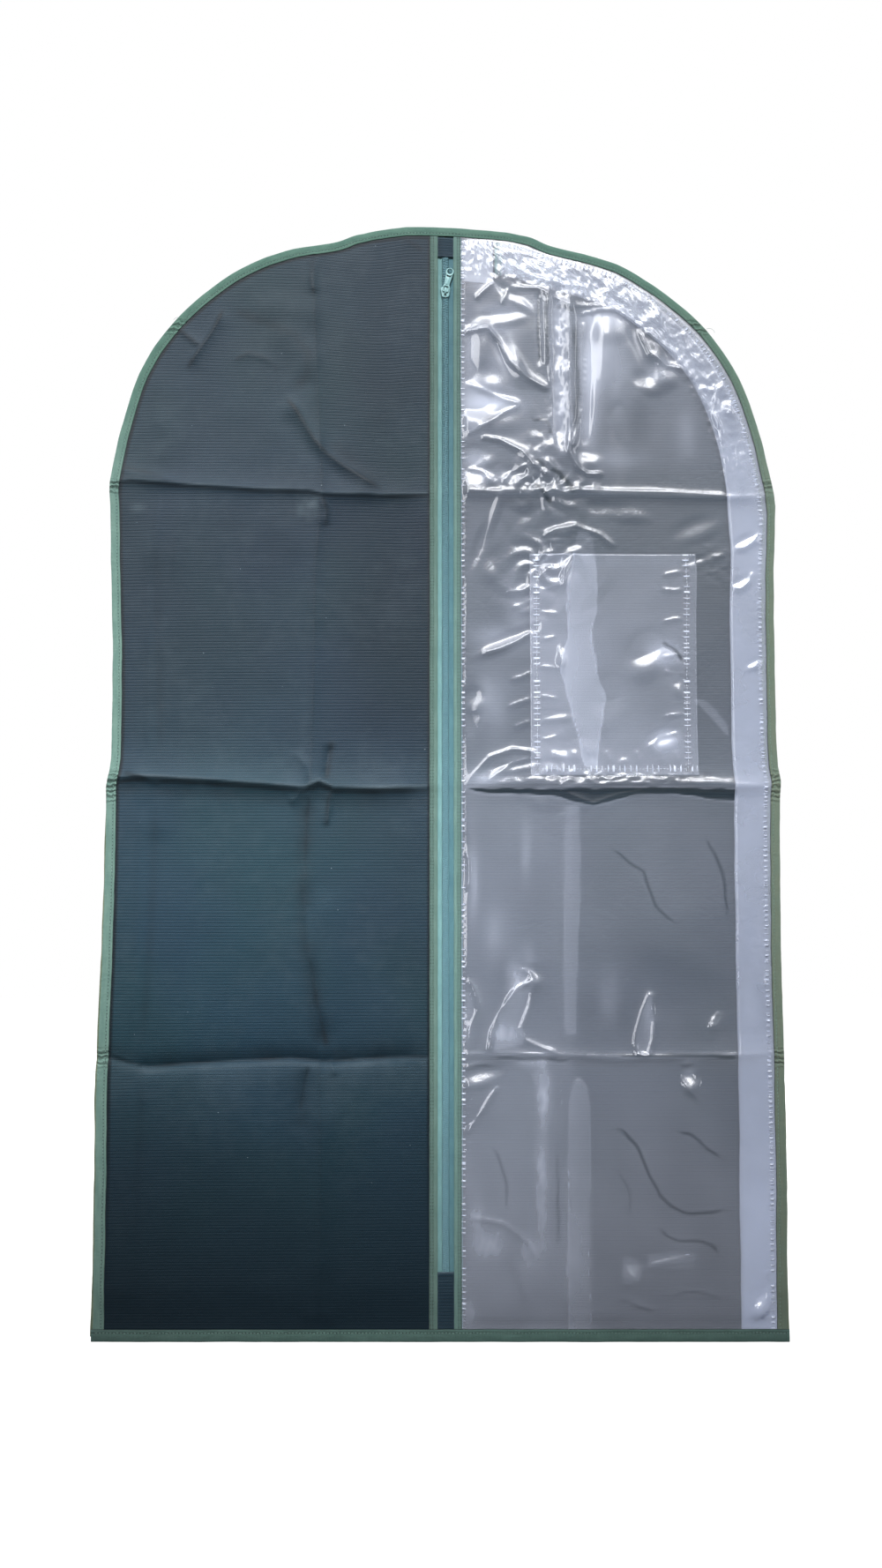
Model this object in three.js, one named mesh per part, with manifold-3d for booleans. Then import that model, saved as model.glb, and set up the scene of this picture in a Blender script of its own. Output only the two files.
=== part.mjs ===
// Zipped garment bag, 600 x 1000 mm, empty and flat.
// Millimetres. +Z up (the bag hangs), +X to the right seen from the front, the front faces -Y.
// Origin: middle of the bottom edge, half way through the thickness.
//
// Layers from front to back: pull and slider, outline binding / panels, zip tape,
// V-folded gusset, back panel, back outline binding. Every layer is a thin closed solid
// with a small air gap to the next one.
import * as THREE from "three";
import { mergeVertices } from "three/addons/utils/BufferGeometryUtils.js";
import Module from "manifold-3d";

const wasm = await Module();
wasm.setup();

// ---- dimensions -----------------------------------------------------------
// Planes and depth ranges are y values before the whole bag is shifted.
const BAG_WIDTH = 600;
const BAG_HEIGHT = 1000;
const HANGER_LEVEL = 60; // half length of the level stretch at the hanger opening
const SIDE_TOP = 750; // height where the straight side runs into the shoulder
const CLEAR = 0.3; // air gap between neighbouring parts

const TAPE = 0.4; // thickness of every binding tape and zip tape
const CLOTH = 0.5; // non-woven cloth of the panels
const GUSSET_CLOTH = 0.4;
const FILM = 0.3; // clear film

const FRONT_FACE = -5.7; // front face of the front bindings
const FRONT_BINDING_BACK = -3.8; // back face of the front bindings
const BACK_BINDING_FRONT = 2.3; // front face of the back outline binding
const BACK_FACE = 4.9; // back face of the back bindings
const CROWN_FRONT = -8.8; // foremost face of the slider
const PLANE_SHIFT = -(CROWN_FRONT + BACK_FACE) / 2; // centres the thickness on y = 0

const BINDING_WIDTH = 11; // visible width of the folded outline binding
const BOTTOM_WIDTH = 11; // height of the bottom binding
const BOTTOM_OVERHANG = 1.5; // bottom binding stands past each side

const PANEL_FRONT = -5.0; // front face of the cloth panel
const FILM_FRONT = -4.9; // front face of the window film
const PANEL_INSET = BINDING_WIDTH + 0.5; // panels stop just inside the outline binding
const PANEL_BOTTOM = BOTTOM_WIDTH + 2 * CLEAR;
const PANEL_TOP = BAG_HEIGHT - PANEL_INSET;
const BACK_PANEL = { front: 3.7, bottom: 0.7, inset: 0.9 };

const ZIP_X = 2.5; // centre line of the zip
const ZIP_HALF_GAP = 6.3; // zip bindings stand this far from the zip centre
const TAB_HALF = 5.9; // half width of the cloth tabs that cap the zip
const TAB_DEPTH = [-5.3, -4.4];
const TOP_TAB_HEIGHT = 16;
const BOTTOM_TAB_TOP = 59.6;
const TAB_GAP = 0.4; // between each tab and the zip
const ZIP_BOTTOM = BOTTOM_TAB_TOP + TAB_GAP;
const ZIP_TOP = PANEL_TOP - TOP_TAB_HEIGHT - TAB_GAP;

// Rectangles: x from, x to, z from, z to.
const POCKET = [78.5, 228.5, 492, 693.5];
const POCKET_FRONT = -5.5;
const LABEL = [16.5, 46.5, 950, 988];
const LABEL_DEPTH = [-2.7, -2.4];

// ---- materials ------------------------------------------------------------
const paint = ({ color, roughness, metalness = 0, opacity = 1 }) =>
  new THREE.MeshStandardMaterial({
    color,
    roughness,
    metalness,
    opacity,
    transparent: opacity < 1,
  });
const clothMat = () => paint({ color: 0x2b3b47, roughness: 0.9 });
const tabMat = () => paint({ color: 0x34424d, roughness: 0.9 });
const bindingMat = () => paint({ color: 0x6f9489, roughness: 0.75 });
const zipTapeMat = () => paint({ color: 0x6e9ba0, roughness: 0.8 });
const coilMat = () => paint({ color: 0x7fa9ac, roughness: 0.45 });
const filmMat = () => paint({ color: 0xc9d2dc, roughness: 0.12, opacity: 0.35 });
const labelMat = () => paint({ color: 0xe3e4ec, roughness: 0.7 });
const enamelMat = () => paint({ color: 0x86b5b4, roughness: 0.3, metalness: 0.4 });

// ---- the outline ----------------------------------------------------------
// Right shoulder (x, z), from the level stretch down to the straight side.
const SHOULDER = [
  [HANGER_LEVEL, BAG_HEIGHT],
  [72, 998.6], [84, 995.2], [98, 987.9], [124, 980.9], [150, 972.6],
  [175.6, 961.4], [201.4, 945.2], [227, 923.6], [250, 897.6], [266, 873.6],
  [279, 846], [289.5, 812], [296.5, 781],
  [BAG_WIDTH / 2, SIDE_TOP],
];

const toVectors = (points) => points.map(([x, y]) => new THREE.Vector2(x, y));

const arch = new THREE.SplineCurve(toVectors(SHOULDER))
  .getSpacedPoints(20)
  .map((p) => [p.x, p.y]);
// The ends are pinned, so that rounding along the spline cannot move them.
arch[0] = SHOULDER[0];
arch[arch.length - 1] = SHOULDER[SHOULDER.length - 1];

// The outline as an open line from bottom left, over the top, to bottom right.
function outline(bottom) {
  const right = [...arch, [BAG_WIDTH / 2, bottom]];
  const left = right.map(([x, z]) => [-x, z]).reverse();
  return [...left, ...right];
}

// The line moved inwards by a distance, with mitred corners.
function inset(line, distance) {
  const normals = line.slice(1).map(([x, z], i) => {
    const dx = x - line[i][0];
    const dz = z - line[i][1];
    const length = Math.hypot(dx, dz);
    return [dz / length, -dx / length];
  });
  return line.map(([x, z], i) => {
    const before = normals[Math.max(0, i - 1)];
    const after = normals[Math.min(normals.length - 1, i)];
    const mitre = distance / (1 + before[0] * after[0] + before[1] * after[1]);
    return [x + (before[0] + after[0]) * mitre, z + (before[1] + after[1]) * mitre];
  });
}

// ---- shape helpers --------------------------------------------------------
const rect = (x0, x1, y0, y1) => [
  [x0, y0],
  [x1, y0],
  [x1, y1],
  [x0, y1],
];

function extrude(points, depth, holes = []) {
  const shape = new THREE.Shape(toVectors(points));
  shape.holes.push(...holes);
  return new THREE.ExtrudeGeometry(shape, {
    depth,
    bevelEnabled: false,
    curveSegments: 20,
  });
}

// A flat sheet: points are (x, z), thickness from y0 to y1.
const sheet = (points, y0, y1, holes) =>
  extrude(points, y1 - y0, holes).rotateX(Math.PI / 2).translate(0, y1, 0);

// A vertical strip: points are (x, y), from z0 to z1.
const strip = (points, z0, z1) => extrude(points, z1 - z0).translate(0, 0, z0);

// A cross-piece: points are (y, z), from x0 to x1.
const cross = (points, x0, x1) =>
  extrude(points, x1 - x0)
    .rotateX(Math.PI / 2)
    .rotateZ(Math.PI / 2)
    .translate(x0, 0, 0);

function toManifold(geometry) {
  // Only positions stay, so that corners weld across sharp edges.
  geometry.deleteAttribute("normal");
  geometry.deleteAttribute("uv");
  const welded = mergeVertices(geometry, 1e-4);
  return new wasm.Manifold(
    new wasm.Mesh({
      numProp: 3,
      vertProperties: new Float32Array(welded.attributes.position.array),
      triVerts: new Uint32Array(welded.index.array),
    }),
  );
}

// The union of several geometries.
function join(...parts) {
  const mesh = parts.map(toManifold).reduce((a, b) => a.add(b)).getMesh();
  const geometry = new THREE.BufferGeometry();
  geometry.setAttribute("position", new THREE.Float32BufferAttribute(mesh.vertProperties, 3));
  geometry.setIndex(new THREE.Uint32BufferAttribute(mesh.triVerts, 1));
  geometry.computeVertexNormals();
  return geometry;
}

// ---- bindings -------------------------------------------------------------
// A folded tape that runs round the outline: two leaves and the fold.
function foldedOutline(y0, y1) {
  const line = outline(BOTTOM_WIDTH + CLEAR);
  const band = (width) => [...inset(line, 0), ...inset(line, width).reverse()];
  return join(
    sheet(band(BINDING_WIDTH), y0, y0 + TAPE),
    sheet(band(BINDING_WIDTH), y1 - TAPE, y1),
    sheet(band(TAPE), y0, y1),
  );
}

// A channel open at the top that closes front and back along the hem.
function bottomBinding() {
  const halfLength = BAG_WIDTH / 2 + BOTTOM_OVERHANG;
  const section = [
    [FRONT_FACE, 0],
    [BACK_FACE, 0],
    [BACK_FACE, BOTTOM_WIDTH],
    [BACK_FACE - TAPE, BOTTOM_WIDTH],
    [BACK_FACE - TAPE, TAPE],
    [FRONT_FACE + TAPE, TAPE],
    [FRONT_FACE + TAPE, BOTTOM_WIDTH],
    [FRONT_FACE, BOTTOM_WIDTH],
  ];
  return cross(section, -halfLength, halfLength);
}

// ---- gussets --------------------------------------------------------------
const GUSSET_END_X = 54; // the gusset stops here, left and right of the hanger opening
const GUSSET_DEPTH = 40; // fold line, measured in from the outline
const GUSSET = {
  bottom: 1.2,
  rim: 1.4, // outer edge, measured in from the outline
  flatEnd: 12, // the part under the binding is flat up to here
  flatY: 3.2, // mid-plane of each flat part, to the front and back of y = 0
  foldOuter: GUSSET_DEPTH + 0.4,
  foldInner: GUSSET_DEPTH - 2.4,
  foldHalf: 0.25, // half thickness at the fold
  innerFlatCut: 0.1, // inside of the V bends this much earlier
  stationPitch: SIDE_TOP / 12, // between path points on the straight side
  stationMargin: 10, // straight stations stop at least this far below the shoulder
  steps: 46,
};

// One V-folded strip up the side and over the shoulder.
function gusset(side, thickness) {
  const straight = [];
  for (let z = GUSSET.bottom; z < SIDE_TOP - GUSSET.stationMargin; z += GUSSET.stationPitch)
    straight.push([BAG_WIDTH / 2, z]);
  const stations = [...straight, ...[...arch].reverse(), [GUSSET_END_X, BAG_HEIGHT]];
  const extrudePath = new THREE.CatmullRomCurve3(
    stations.map(([x, z]) => new THREE.Vector3(side * x, 0, z)),
    false,
    "centripetal",
  );
  const { rim, flatEnd, foldOuter, foldInner, foldHalf } = GUSSET;
  const outerY = GUSSET.flatY + thickness / 2;
  const innerY = GUSSET.flatY - thickness / 2;
  const innerFlatEnd = flatEnd - GUSSET.innerFlatCut;
  // (distance in from the outline, y)
  const section = [
    [rim, -outerY],
    [flatEnd, -outerY],
    [foldOuter, -foldHalf],
    [foldOuter, foldHalf],
    [flatEnd, outerY],
    [rim, outerY],
    [rim, innerY],
    [innerFlatEnd, innerY],
    [foldInner, 0],
    [innerFlatEnd, -innerY],
    [rim, -innerY],
  ];
  // Along the path the shape's first axis points to the front, the second to +X at the start.
  const placed = section.map(([inward, y]) => [-y, -side * inward]);
  return new THREE.ExtrudeGeometry(new THREE.Shape(toVectors(placed)), {
    steps: GUSSET.steps,
    bevelEnabled: false,
    extrudePath,
  });
}

// The short V-shaped tape on the raw end of a gusset beside the hanger opening.
function gussetEndBinding(side) {
  const width = 6;
  const armTop = BAG_HEIGHT - BINDING_WIDTH - 1.8;
  const fold = BAG_HEIGHT - GUSSET_DEPTH - 1;
  const foldHeight = 3;
  const foldHalf = 0.5;
  const armOuter = 3.5;
  const armInner = 2.7;
  const section = [
    [-armOuter, armTop],
    [-foldHalf, fold],
    [foldHalf, fold],
    [armOuter, armTop],
    [armInner, armTop],
    [0, fold + foldHeight],
    [-armInner, armTop],
  ];
  const centre = side * (GUSSET_END_X - CLEAR - width / 2);
  return cross(section, centre - width / 2, centre + width / 2);
}

// ---- panels and tabs ------------------------------------------------------
function backPanel() {
  const { front, bottom, inset: margin } = BACK_PANEL;
  return sheet(inset(outline(bottom), margin), front, front + CLOTH);
}

// The half of the front on one side of the zip.
function frontPanel(side, front, thickness) {
  const edge = ZIP_X + side * (ZIP_HALF_GAP + TAPE + CLEAR);
  const minDistance = 0.5; // outline points nearer the zip edge are left out
  const own = inset(outline(PANEL_BOTTOM), PANEL_INSET).filter(
    ([x]) => side * (x - edge) > minDistance,
  );
  const top = [edge, PANEL_TOP];
  const bottom = [edge, PANEL_BOTTOM];
  const points = side < 0 ? [...own, top, bottom] : [bottom, top, ...own];
  return sheet(points, front, front + thickness);
}

// A cloth tab that caps one end of the zip.
const zipEndTab = (z0, z1) =>
  sheet(rect(ZIP_X - TAB_HALF, ZIP_X + TAB_HALF, z0, z1), ...TAB_DEPTH);

// ---- zip ------------------------------------------------------------------
const ZIP_BINDING_WIDTH = 7.9;
const TAPE_OUTER = 15.5; // outer edge of each zip tape, from the zip centre
const TAPE_INNER = 0.7; // inner edge of each zip tape and coil
const ZIP_TAPE_FRONT = -3.5;
const COIL = { width: 2.1, front: -5.1, back: -3.8, radius: 0.55, cornerSteps: 3 };

// A vertical strip on one side of the zip: points are (distance from the zip centre, y).
const zipStrip = (side, points, z0, z1) =>
  strip(points.map(([distance, y]) => [ZIP_X + side * distance, y]), z0, z1);

// A channel folded round the panel edge, open away from the zip.
function zipBinding(side) {
  const near = ZIP_HALF_GAP;
  const far = ZIP_HALF_GAP + ZIP_BINDING_WIDTH;
  const section = [
    [far, FRONT_FACE],
    [near, FRONT_FACE],
    [near, FRONT_BINDING_BACK],
    [far, FRONT_BINDING_BACK],
    [far, FRONT_BINDING_BACK - TAPE],
    [near + TAPE, FRONT_BINDING_BACK - TAPE],
    [near + TAPE, FRONT_FACE + TAPE],
    [far, FRONT_FACE + TAPE],
  ];
  return zipStrip(side, section, PANEL_BOTTOM, PANEL_TOP);
}

function zipTape(side) {
  const section = rect(TAPE_INNER, TAPE_OUTER, ZIP_TAPE_FRONT, ZIP_TAPE_FRONT + TAPE);
  return zipStrip(side, section, ZIP_BOTTOM, ZIP_TOP);
}

// The coil as a rounded bar, flat side towards the tape.
function zipCoil(side) {
  const { width, front, back, radius, cornerSteps } = COIL;
  const near = TAPE_INNER;
  const far = near + width;
  const corner = (centre, startAngle) =>
    Array.from({ length: cornerSteps + 1 }, (_, k) => {
      const angle = startAngle + (k / cornerSteps) * (Math.PI / 2);
      return [centre + radius * Math.cos(angle), front + radius + radius * Math.sin(angle)];
    });
  const section = [
    ...corner(near + radius, Math.PI),
    ...corner(far - radius, 1.5 * Math.PI),
    [far, back],
    [near, back],
  ];
  return zipStrip(side, section, ZIP_BOTTOM, ZIP_TOP);
}

// ---- slider and pull ------------------------------------------------------
// Drawn as (x, z) from the slider's centre.
const SLIDER_Z = 938;
const SLIDER = {
  length: 10,
  frontHalf: 4.2, // half width of the front plate
  backHalf: 3.9, // half width of the back plate
  frontDepth: [-6.2, -5.4],
  backDepth: [-2.8, -2.2],
  taper: 0.2, // each side is this much narrower at the lower end
  lowerCorner: [0.9, 1.4], // x and z size of the rounding
  upperCorner: [2.0, 2.2],
};
const POST = { plan: [-0.4, 0.4, 1.2, 4.4], depth: [-5.6, -2.6] };
const LIP = { inner: 3.2, outer: 4.0, bottom: -3.2, top: 2.6, depth: [-5.6, -3.9] };
const CROWN_HALF = 1.1; // half width of the crown
// Upper half of the crown's section: y, z from the slider's centre.
const CROWN = [
  [CROWN_FRONT, 3.0], [-8.0, 3.9], [-6.0, 4.1],
  [-6.0, 2.7], [-7.9, 2.5], [-7.98, 2.2],
];
const PIVOT_Y = -7.1;
const PULL_LENGTH = 21;
const PULL_THICK = 1.0;
const PULL_WINDOW = [-1.6, 1.6, 0.6, 5.0];
const PULL_EYE = { z: 16.6, radius: 1.7 };

const onSlider = (points) => points.map(([x, z]) => [ZIP_X + x, SLIDER_Z + z]);

// Closes a right half outline with its mirror image; a point on the axis is used once.
function mirrored(path, divisions) {
  const right = path.getPoints(divisions).map((p) => [p.x, p.y]);
  const left = right.filter(([x]) => x > 0).map(([x, z]) => [-x, z]);
  return onSlider([...right, ...left.reverse()]);
}

// Narrower at the lower end, where the closed coil leaves.
function sliderPlate(topHalf, depth) {
  const end = SLIDER.length / 2;
  const lowHalf = topHalf - SLIDER.taper;
  const [lowX, lowZ] = SLIDER.lowerCorner;
  const [topX, topZ] = SLIDER.upperCorner;
  const path = new THREE.Path()
    .moveTo(lowHalf - lowX, -end)
    .quadraticCurveTo(lowHalf, -end, lowHalf, -end + lowZ)
    .lineTo(topHalf, end - topZ)
    .quadraticCurveTo(topHalf, end, topHalf - topX, end);
  return sheet(mirrored(path, 5), ...depth);
}

// A side lip that holds the coil under the front plate.
const sliderLip = (side) =>
  sheet(
    onSlider(rect(side * LIP.inner, side * LIP.outer, LIP.bottom, LIP.top)),
    ...LIP.depth,
  );

// A low bridge the pull swings in.
function sliderCrown() {
  const lower = CROWN.map(([y, z]) => [y, -z]).reverse();
  const section = [...CROWN, ...lower].map(([y, z]) => [y, SLIDER_Z + z]);
  return cross(section, ZIP_X - CROWN_HALF, ZIP_X + CROWN_HALF);
}

function sliderBody() {
  return join(
    sliderPlate(SLIDER.frontHalf, SLIDER.frontDepth),
    sliderPlate(SLIDER.backHalf, SLIDER.backDepth),
    sheet(onSlider(rect(...POST.plan)), ...POST.depth), // parts the two coils
    sliderLip(-1),
    sliderLip(1),
    sliderCrown(),
  );
}

// A flat tab; the bar below its window lies inside the crown.
function pullTab() {
  const path = new THREE.Path()
    .moveTo(2.6, -0.6)
    .lineTo(2.9, 5.6)
    .quadraticCurveTo(2.7, 8.5, 3.2, 11)
    .quadraticCurveTo(4.1, 14.5, 3.5, 18)
    .quadraticCurveTo(2.6, PULL_LENGTH, 0, PULL_LENGTH);
  const barWindow = new THREE.Path(toVectors(onSlider(rect(...PULL_WINDOW))));
  const eye = new THREE.Path();
  eye.absarc(ZIP_X, SLIDER_Z + PULL_EYE.z, PULL_EYE.radius, 0, Math.PI * 2, true);
  const front = PIVOT_Y - PULL_THICK / 2;
  return sheet(mirrored(path, 4), front, front + PULL_THICK, [barWindow, eye]);
}

// ---- assembly -------------------------------------------------------------
const SIDES = [
  [-1, "left"],
  [1, "right"],
];
const bag = new THREE.Group();
bag.position.y = PLANE_SHIFT;

function put(name, geometry, material) {
  const mesh = new THREE.Mesh(geometry, material);
  mesh.name = name;
  bag.add(mesh);
}

put("back_panel", backPanel(), clothMat());
put("back_outline_binding", foldedOutline(BACK_BINDING_FRONT, BACK_FACE), bindingMat());
put("gusset_left", gusset(-1, GUSSET_CLOTH), clothMat());
put("gusset_right", gusset(1, FILM), filmMat());
for (const [side, word] of SIDES)
  put(`gusset_end_binding_${word}`, gussetEndBinding(side), bindingMat());
put("bottom_binding", bottomBinding(), bindingMat());
put("front_outline_binding", foldedOutline(FRONT_FACE, FRONT_BINDING_BACK), bindingMat());
put("zip_end_tab_top", zipEndTab(PANEL_TOP - TOP_TAB_HEIGHT, PANEL_TOP), tabMat());
put("zip_end_tab_bottom", zipEndTab(PANEL_BOTTOM, BOTTOM_TAB_TOP), tabMat());
// Blank label at the hanger opening.
put("care_label", sheet(rect(...LABEL), ...LABEL_DEPTH), labelMat());
put("front_left_panel", frontPanel(-1, PANEL_FRONT, CLOTH), clothMat());
put("window_panel", frontPanel(1, FILM_FRONT, FILM), filmMat());
for (const [side, word] of SIDES) {
  put(`zip_binding_${word}`, zipBinding(side), bindingMat());
  put(`zip_tape_${word}`, zipTape(side), zipTapeMat());
  put(`zip_coil_${word}`, zipCoil(side), coilMat());
}
// Card pocket: one film sheet in front of the window panel.
put("pocket_sheet", sheet(rect(...POCKET), POCKET_FRONT, POCKET_FRONT + FILM), filmMat());
put("slider_body", sliderBody(), enamelMat());
put("pull_tab", pullTab(), enamelMat());

export default bag;
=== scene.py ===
"""Garment bag lying nearly flat: navy cloth on the left, clear film with a pocket on the right.

X runs to the right and Z up towards the hanger opening; the hem lies at Z = 0. The front
looks along -Y, at the viewer. Sizes are millimetres until a mesh is made, unless noted.
"""
import math

import bpy
import numpy as np
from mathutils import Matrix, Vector

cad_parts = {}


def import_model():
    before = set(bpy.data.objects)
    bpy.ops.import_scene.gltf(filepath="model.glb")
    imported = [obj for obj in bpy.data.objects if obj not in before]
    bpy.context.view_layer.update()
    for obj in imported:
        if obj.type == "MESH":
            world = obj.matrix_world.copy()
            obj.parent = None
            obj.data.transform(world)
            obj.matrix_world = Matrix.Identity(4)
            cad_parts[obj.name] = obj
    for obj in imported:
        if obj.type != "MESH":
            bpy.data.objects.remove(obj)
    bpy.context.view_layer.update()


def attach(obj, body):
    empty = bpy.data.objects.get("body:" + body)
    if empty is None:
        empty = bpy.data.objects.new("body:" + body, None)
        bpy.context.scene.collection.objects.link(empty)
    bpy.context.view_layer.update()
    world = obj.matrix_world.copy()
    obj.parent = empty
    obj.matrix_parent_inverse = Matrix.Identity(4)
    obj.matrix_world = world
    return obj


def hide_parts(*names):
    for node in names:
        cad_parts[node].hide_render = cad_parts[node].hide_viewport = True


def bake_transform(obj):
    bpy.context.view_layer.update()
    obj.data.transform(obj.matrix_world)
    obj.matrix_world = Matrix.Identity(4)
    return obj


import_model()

MM = 0.001
TAU = 2 * math.pi

# ---------------------------------------------------------------------------
# driving dimensions
# ---------------------------------------------------------------------------
ZIP_X = 2.5                # the zip's middle
HALF_W = 300.0             # half the bag's width
MID_Z = 480.0              # height from which bearings around the bag are taken
OUTLINE_TAPE = 11.0        # width of the tape folded round outline and hem
PANEL_INSET = 3.5          # panels end this far inside the outline
PANEL_MAX_X = 296.5
PANEL_Z = (3.5, 995.5)
ZIP_TAPE_REACH = 7.6       # half the gap between the front panels
ZIP_TAPE_OUTER = 14.2      # outer edge of the zip bindings, from the zip's middle
ZIP_FOLD_W = 7.9           # nominal width of a zip binding
OUTLINE_STITCH = 7.6       # stitch row, from the outline
HEM_STITCH = 7.8
ZIP_STITCHES = (4.4, 6.5)  # stitch rows, from the zip-side fold
ZIP_EDGE = {-1: (6.9, 7.4), 1: (7.3, 6.8)}  # side: fold from the zip's middle, width
WORDS = {-1: "left", 1: "right"}

# the camera, whose view also places the folds of the face
VIEW_TILT = math.radians(5.4)
VIEW_FOCUS = 1900.0
VIEW_SIZE = (1000.0, 1778.0)
VIEW_DISTANCE = 1492.8
VIEW_HEM = 1523.0          # how far down the view the hem lies
VIEW_SHIFT = 1.4928        # the bag's middle lies this far right in the view

# shoulder, right half: x, z
SHOULDER = np.array([
    [60, 1000], [72, 998.6], [84, 995.2], [98, 987.9], [124, 980.9], [150, 972.6],
    [175.6, 961.4], [201.4, 945.2], [227, 923.6], [250, 897.6], [266, 873.6],
    [279, 846], [289.5, 812], [296.5, 781], [300, 750]], float)


# ---------------------------------------------------------------------------
# numeric helpers
# ---------------------------------------------------------------------------
def smooth(start, end, value):
    t = np.clip((np.asarray(value, float) - start) / (end - start), 0, 1)
    return t * t * (3 - 2 * t)


def lattice_hash(ix, iz, seed):
    n = (ix * 374761393 + iz * 668265263 + seed * 974634777) & 0xFFFFFFFF
    n = ((n ^ (n >> 13)) * 1274126177) & 0xFFFFFFFF
    return ((n ^ (n >> 16)) & 0xFFFFFF) / float(0x1000000)


def noise(x, z, seed=0):
    """Gradient noise, about -1 to 1."""
    x, z = np.broadcast_arrays(np.asarray(x, float), np.asarray(z, float))
    x_floor, z_floor = np.floor(x), np.floor(z)
    ix, iz = x_floor.astype(np.int64), z_floor.astype(np.int64)
    fx, fz = x - x_floor, z - z_floor
    u = fx * fx * fx * (fx * (fx * 6 - 15) + 10)
    v = fz * fz * fz * (fz * (fz * 6 - 15) + 10)

    def corner(i, j):
        angle = lattice_hash(ix + i, iz + j, seed) * TAU
        return np.cos(angle) * (fx - i) + np.sin(angle) * (fz - j)

    low = corner(0, 0) * (1 - u) + corner(1, 0) * u
    high = corner(0, 1) * (1 - u) + corner(1, 1) * u
    return 1.45 * (low * (1 - v) + high * v)


def fbm(x, z, octaves=3, seed=0):
    """Noise summed over octaves, each half as strong."""
    total, weight, scale, weights = 0, 1.0, 1.0, 0
    for i in range(octaves):
        total = total + weight * noise(np.asarray(x) * scale, np.asarray(z) * scale, seed + i * 17)
        weights += weight
        weight *= 0.5
        scale *= 2.03
    return total / weights


def face_point(across, down):
    """(x, z) on the bag's face of a point of the view, given across and down from its corner."""
    def rise(rows):
        slope = (rows - VIEW_SIZE[1] / 2) / VIEW_FOCUS
        depth = VIEW_DISTANCE / (1 + slope * math.tan(VIEW_TILT))
        return depth, -depth * slope / math.cos(VIEW_TILT)

    depth, z = rise(down)
    x = depth * (across - VIEW_SIZE[0] / 2) / VIEW_FOCUS - VIEW_SHIFT
    return x, z - rise(VIEW_HEM)[1]


def face_points(points):
    return np.array([face_point(*point) for point in points], float)


def line_distance(x, z, points, closed=False):
    """Distance to a polyline, side (+ left of travel), and share of the way along it."""
    points = np.asarray(points, float)
    steps = np.diff(np.vstack([points, points[:1]]) if closed else points, axis=0)
    lengths = np.hypot(steps[:, 0], steps[:, 1])
    travelled = np.concatenate([[0], np.cumsum(lengths)])
    best = np.full(x.shape, 1e9)
    side = np.zeros(x.shape)
    along = np.zeros(x.shape)
    for i, step in enumerate(steps):
        if lengths[i] < 1e-9:
            continue
        dx, dz = x - points[i, 0], z - points[i, 1]
        t = np.clip((dx * step[0] + dz * step[1]) / (lengths[i] ** 2), 0, 1)
        distance = np.hypot(dx - t * step[0], dz - t * step[1])
        hit = distance < best
        best = np.where(hit, distance, best)
        side = np.where(hit, np.sign(step[0] * dz - step[1] * dx), side)
        along = np.where(hit, (travelled[i] + t * lengths[i]) / travelled[-1], along)
    return best, side, along


def box_mask(x, z, points, margin):
    """Which places lie within a margin of the points' bounding box."""
    low, high = points.min(0) - margin, points.max(0) + margin
    return (x > low[0]) & (x < high[0]) & (z > low[1]) & (z < high[1])


def end_fade(along, share):
    return smooth(0, share, along) * smooth(0, share, 1 - along)


def catmull_rom(points, per_span):
    """Points on the spline, without the first and last control points and its end."""
    out = []
    for i in range(1, len(points) - 2):
        for t in np.linspace(0, 1, per_span, endpoint=False):
            a, b, c, d = points[i - 1:i + 3]
            out.append(0.5 * (2 * b + (c - a) * t + (2 * a - 5 * b + 4 * c - d) * t * t
                              + (3 * b - a - 3 * c + d) * t ** 3))
    return np.array(out)


def arc_length(path):
    return np.concatenate([[0], np.cumsum(np.hypot(*np.diff(path, axis=0).T))])


def resample(points, step):
    points = np.asarray(points, float)
    length = arc_length(points)
    count = max(2, int(round(length[-1] / step)) + 1)
    s = np.linspace(0, length[-1], count)
    return np.stack([np.interp(s, length, points[:, k]) for k in (0, 1)], 1)


def normals(path):
    """Unit normal to the right of travel (inwards for the outline path)."""
    t = np.gradient(path, axis=0)
    t /= np.maximum(np.hypot(t[:, 0], t[:, 1])[:, None], 1e-9)
    return np.stack([t[:, 1], -t[:, 0]], 1)


# ---------------------------------------------------------------------------
# outline of the bag and how it lies
# ---------------------------------------------------------------------------
def shoulder_arch():
    ends = np.vstack([2 * SHOULDER[0] - SHOULDER[1], SHOULDER, 2 * SHOULDER[-1] - SHOULDER[-2]])
    arch = np.vstack([catmull_rom(ends, 8), SHOULDER[-1:]])
    for _ in range(14):  # smooth it a little, its ends stay
        arch[1:-1] = 0.25 * arch[:-2] + 0.5 * arch[1:-1] + 0.25 * arch[2:]
    return arch


ARCH = shoulder_arch()


def outline_path(bottom, step):
    """Left bottom, up, over the arch, down to right bottom, evenly spaced."""
    right = np.vstack([ARCH, [[HALF_W, bottom]]])
    return resample(np.vstack([right[::-1] * [-1, 1], right]), step)


OUTLINE = outline_path(0.0, 4.0)
OUTLINE_RIGHT = OUTLINE[OUTLINE[:, 0] > 1.0]


def inset_x(z, inset):
    """Half width of the outline at height z after an inset."""
    edge = OUTLINE_RIGHT + inset * normals(OUTLINE_RIGHT)
    edge = edge[np.argsort(edge[:, 1])]
    return np.interp(z, edge[:, 1], edge[:, 0])


def panel_half(z):
    return np.minimum(inset_x(z, PANEL_INSET), PANEL_MAX_X)


def edge_distance(x, z):
    return line_distance(x, z, OUTLINE[::3])[0]


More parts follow.
